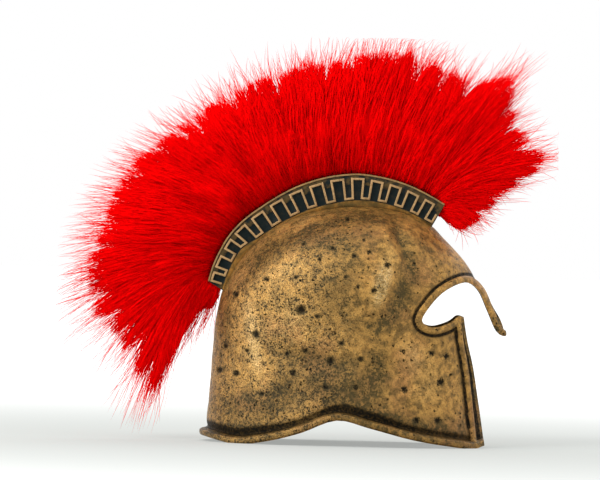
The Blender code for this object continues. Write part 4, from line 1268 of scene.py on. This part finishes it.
class HELMET_OT_crest_rail(bpy.types.Operator):
    """Makes the crest rail with its raised worn gold meander on a dark ground"""
    bl_idname = "helmet.crest_rail"
    bl_label = "Crest Rail"

    def execute(self, context):
        rail = prism("crest_rail_body", rail_band(level(0.0), rail_foot, 0.0), RAIL_GROUND_HALF)
        bead = rail_band(level(-RAIL_BEAD_STEP), level(RAIL_BEAD_WIDTH), RAIL_BEAD_STEP)
        foot = rail_band(lambda place: meander_foot(place) + MEANDER_FOOT_SPACE,
                         lambda place: rail_foot(place) - RAIL_BEAD_STEP, 2 * RAIL_BEAD_STEP)
        channel = rail_band(level(-CHANNEL_DEPTH), level(CHANNEL_DEPTH), -CHANNEL_DEPTH)
        for side in (-1, 1):
            pockets = prisms("rail_pockets", tooth_pockets(), side * POCKET_HALF, side * MEANDER_HALF)
            apply_boolean(rail, "DIFFERENCE", pockets)
        raised = ((bead, RAIL_BEAD_HALF), (foot, RAIL_FOOT_HALF), (meander_outline(), MEANDER_HALF))
        for outline, half in raised:
            apply_boolean(rail, "UNION", prism("rail_part", outline, half))
        apply_boolean(rail, "DIFFERENCE", prism("rail_channel", channel, CHANNEL_HALF))
        bowl = wall_sheet("bowl", BOWL_COLUMNS, BOWL_ROWS, BOWL_GAP, False, SKIN_ROWS)
        apply_boolean(rail, "DIFFERENCE", bowl)
        apply_modifier(rail, "BEVEL", width=RAIL_BEVEL, segments=2, limit_method="ANGLE",
                       angle_limit=math.radians(RAIL_BEVEL_DEG), miter_outer="MITER_ARC")
        merge_close(rail)
        points = vertex_array(rail.data)
        shift = np.array([noise.noise_vector(Vector(point / RAIL_ROUGH_SIZE)) for point in points])
        set_vertices(rail.data, points + shift * RAIL_ROUGHNESS + (PLACE_X, 0.0, 0.0))
        material = rail_material(context.scene.helmet)
        finish_piece(rail, material, ("crest_rail",), RAIL_SMOOTH_DEG)
        return {"FINISHED"}


class HELMET_OT_plume(bpy.types.Operator):
    """Makes the fur plume as many tapered hairs in clumps over a closed red body"""
    bl_idname = "helmet.plume"
    bl_label = "Fur Plume"

    def execute(self, context):
        settings = context.scene.helmet
        core = bpy.data.objects.new("plume_core", core_mesh())
        context.scene.collection.objects.link(core)
        material = fur_material(settings, "red_fur_core", True)
        finish_piece(core, material, ("plume",), CORE_SMOOTH_DEG)
        material = fur_material(settings, "red_fur", False)
        for number in range(1, FUR_PIECES + 1):
            random = np.random.default_rng(FUR_SEED * 100 + number)
            centres, tone_and_shade, thickness = fur_points(random, STRANDS)
            mesh = strand_mesh(f"plume_fur_{number}", centres, tone_and_shade, thickness, settings.hair_width)
            piece = bpy.data.objects.new(f"plume_fur_{number}", mesh)
            context.scene.collection.objects.link(piece)
            finish_piece(piece, material, ("plume",))
        return {"FINISHED"}


class HELMET_OT_stage(bpy.types.Operator):
    """Adds the pale floor, soft lights and the camera"""
    bl_idname = "helmet.stage"
    bl_label = "Stage"

    def execute(self, context):
        scene = context.scene
        deselect()
        bpy.ops.mesh.primitive_circle_add(vertices=96, radius=FLOOR_RADIUS, fill_type="NGON")
        floor = context.object
        floor.name = "floor"
        # The floor's colour and glow stand in for light: a painted glow near the helmet lifts the shadow
        # under it, and the floor is darker there and white far off so it meets the backdrop
        m = Nodes(bpy.data.materials.new("pale_floor"))
        away = m.add("VectorMath", {0: m.place}, operation="LENGTH").outputs["Value"]
        m.link(m.mix(m.ramp(away, *FLOOR_FADE), FLOOR_NEAR, FLOOR_FAR), "Base Color")
        m.set(Roughness=1.0, Specular_IOR_Level=0.0, Emission_Color=GLOW_COLOUR)
        m.link(m.ramp(away, *FLOOR_FADE, FLOOR_GLOW, 0.0), "Emission Strength")
        floor.data.materials.append(m.owner)
        sky = Nodes(bpy.data.worlds.new("studio"), "Background", "Generated")
        direction = sky.add("SeparateXYZ", {0: sky.place}).outputs
        shade = sky.ramp(direction["Y"], *WORLD_SHADE, "LINEAR")
        zenith = sky.ramp(direction["Z"], *WORLD_ZENITH, "LINEAR")
        horizon = sky.ramp(direction["Z"], *WORLD_HORIZON, "LINEAR")
        sky.link(sky.plus(sky.most(shade, horizon), zenith), "Strength")
        sky.set(Color=(1.0, 1.0, 1.0, 1))
        scene.world = sky.owner
        scene.view_settings.view_transform = "Standard"
        for name, place, size, power in LIGHTS:
            light = bpy.data.lights.new(name, "AREA")
            light.size = size
            light.energy = power
            lamp = bpy.data.objects.new(name, light)
            lamp.location = place
            lamp.rotation_euler = (Vector(LIGHT_AIM) - Vector(place)).to_track_quat("-Z", "Y").to_euler()
            scene.collection.objects.link(lamp)
        lens = bpy.data.cameras.new("camera")
        lens.sensor_fit = "HORIZONTAL"
        lens.sensor_width = SENSOR
        lens.lens = SENSOR * CAMERA_DISTANCE / (PICTURE_WIDTH * PIXEL)
        lens.clip_end = CAMERA_REACH
        camera = bpy.data.objects.new("camera", lens)
        camera.location = (VIEW_CENTRE[0], -CAMERA_DISTANCE, VIEW_CENTRE[1])
        right = Vector((math.cos(PICTURE_ROLL), 0, math.sin(PICTURE_ROLL)))
        up = Vector((-math.sin(PICTURE_ROLL), 0, math.cos(PICTURE_ROLL)))
        turn = Matrix((right, up, right.cross(up))).transposed()
        camera.rotation_euler = turn.to_euler()
        scene.collection.objects.link(camera)
        scene.camera = camera
        return {"FINISHED"}


class HELMET_PT_panel(bpy.types.Panel):
    """Lists the helmet's operators and settings"""
    bl_idname = "HELMET_PT_panel"
    bl_label = "Corinthian Helmet"
    bl_space_type = "VIEW_3D"
    bl_region_type = "UI"
    bl_category = "Helmet"

    def draw(self, context):
        column = self.layout.column(align=True)
        for operator in OPERATORS:
            column.operator(operator.bl_idname)
        for name in HelmetSettings.__annotations__:
            self.layout.prop(context.scene.helmet, name)


OPERATORS = (HELMET_OT_shell, HELMET_OT_crest_rail, HELMET_OT_plume, HELMET_OT_stage)
CLASSES = (HelmetSettings, *OPERATORS, HELMET_PT_panel)


def register():
    """Registers the classes and the scene's settings."""
    for item in CLASSES:
        bpy.utils.register_class(item)
    bpy.types.Scene.helmet = bpy.props.PointerProperty(type=HelmetSettings)


def unregister():
    """Removes the settings and the classes."""
    del bpy.types.Scene.helmet
    for item in reversed(CLASSES):
        bpy.utils.unregister_class(item)


def main():
    """Builds the helmet and its stage."""
    register()
    bpy.ops.helmet.shell()
    bpy.ops.helmet.crest_rail()
    bpy.ops.helmet.plume()
    bpy.ops.helmet.stage()


if __name__ == "__main__":
    main()
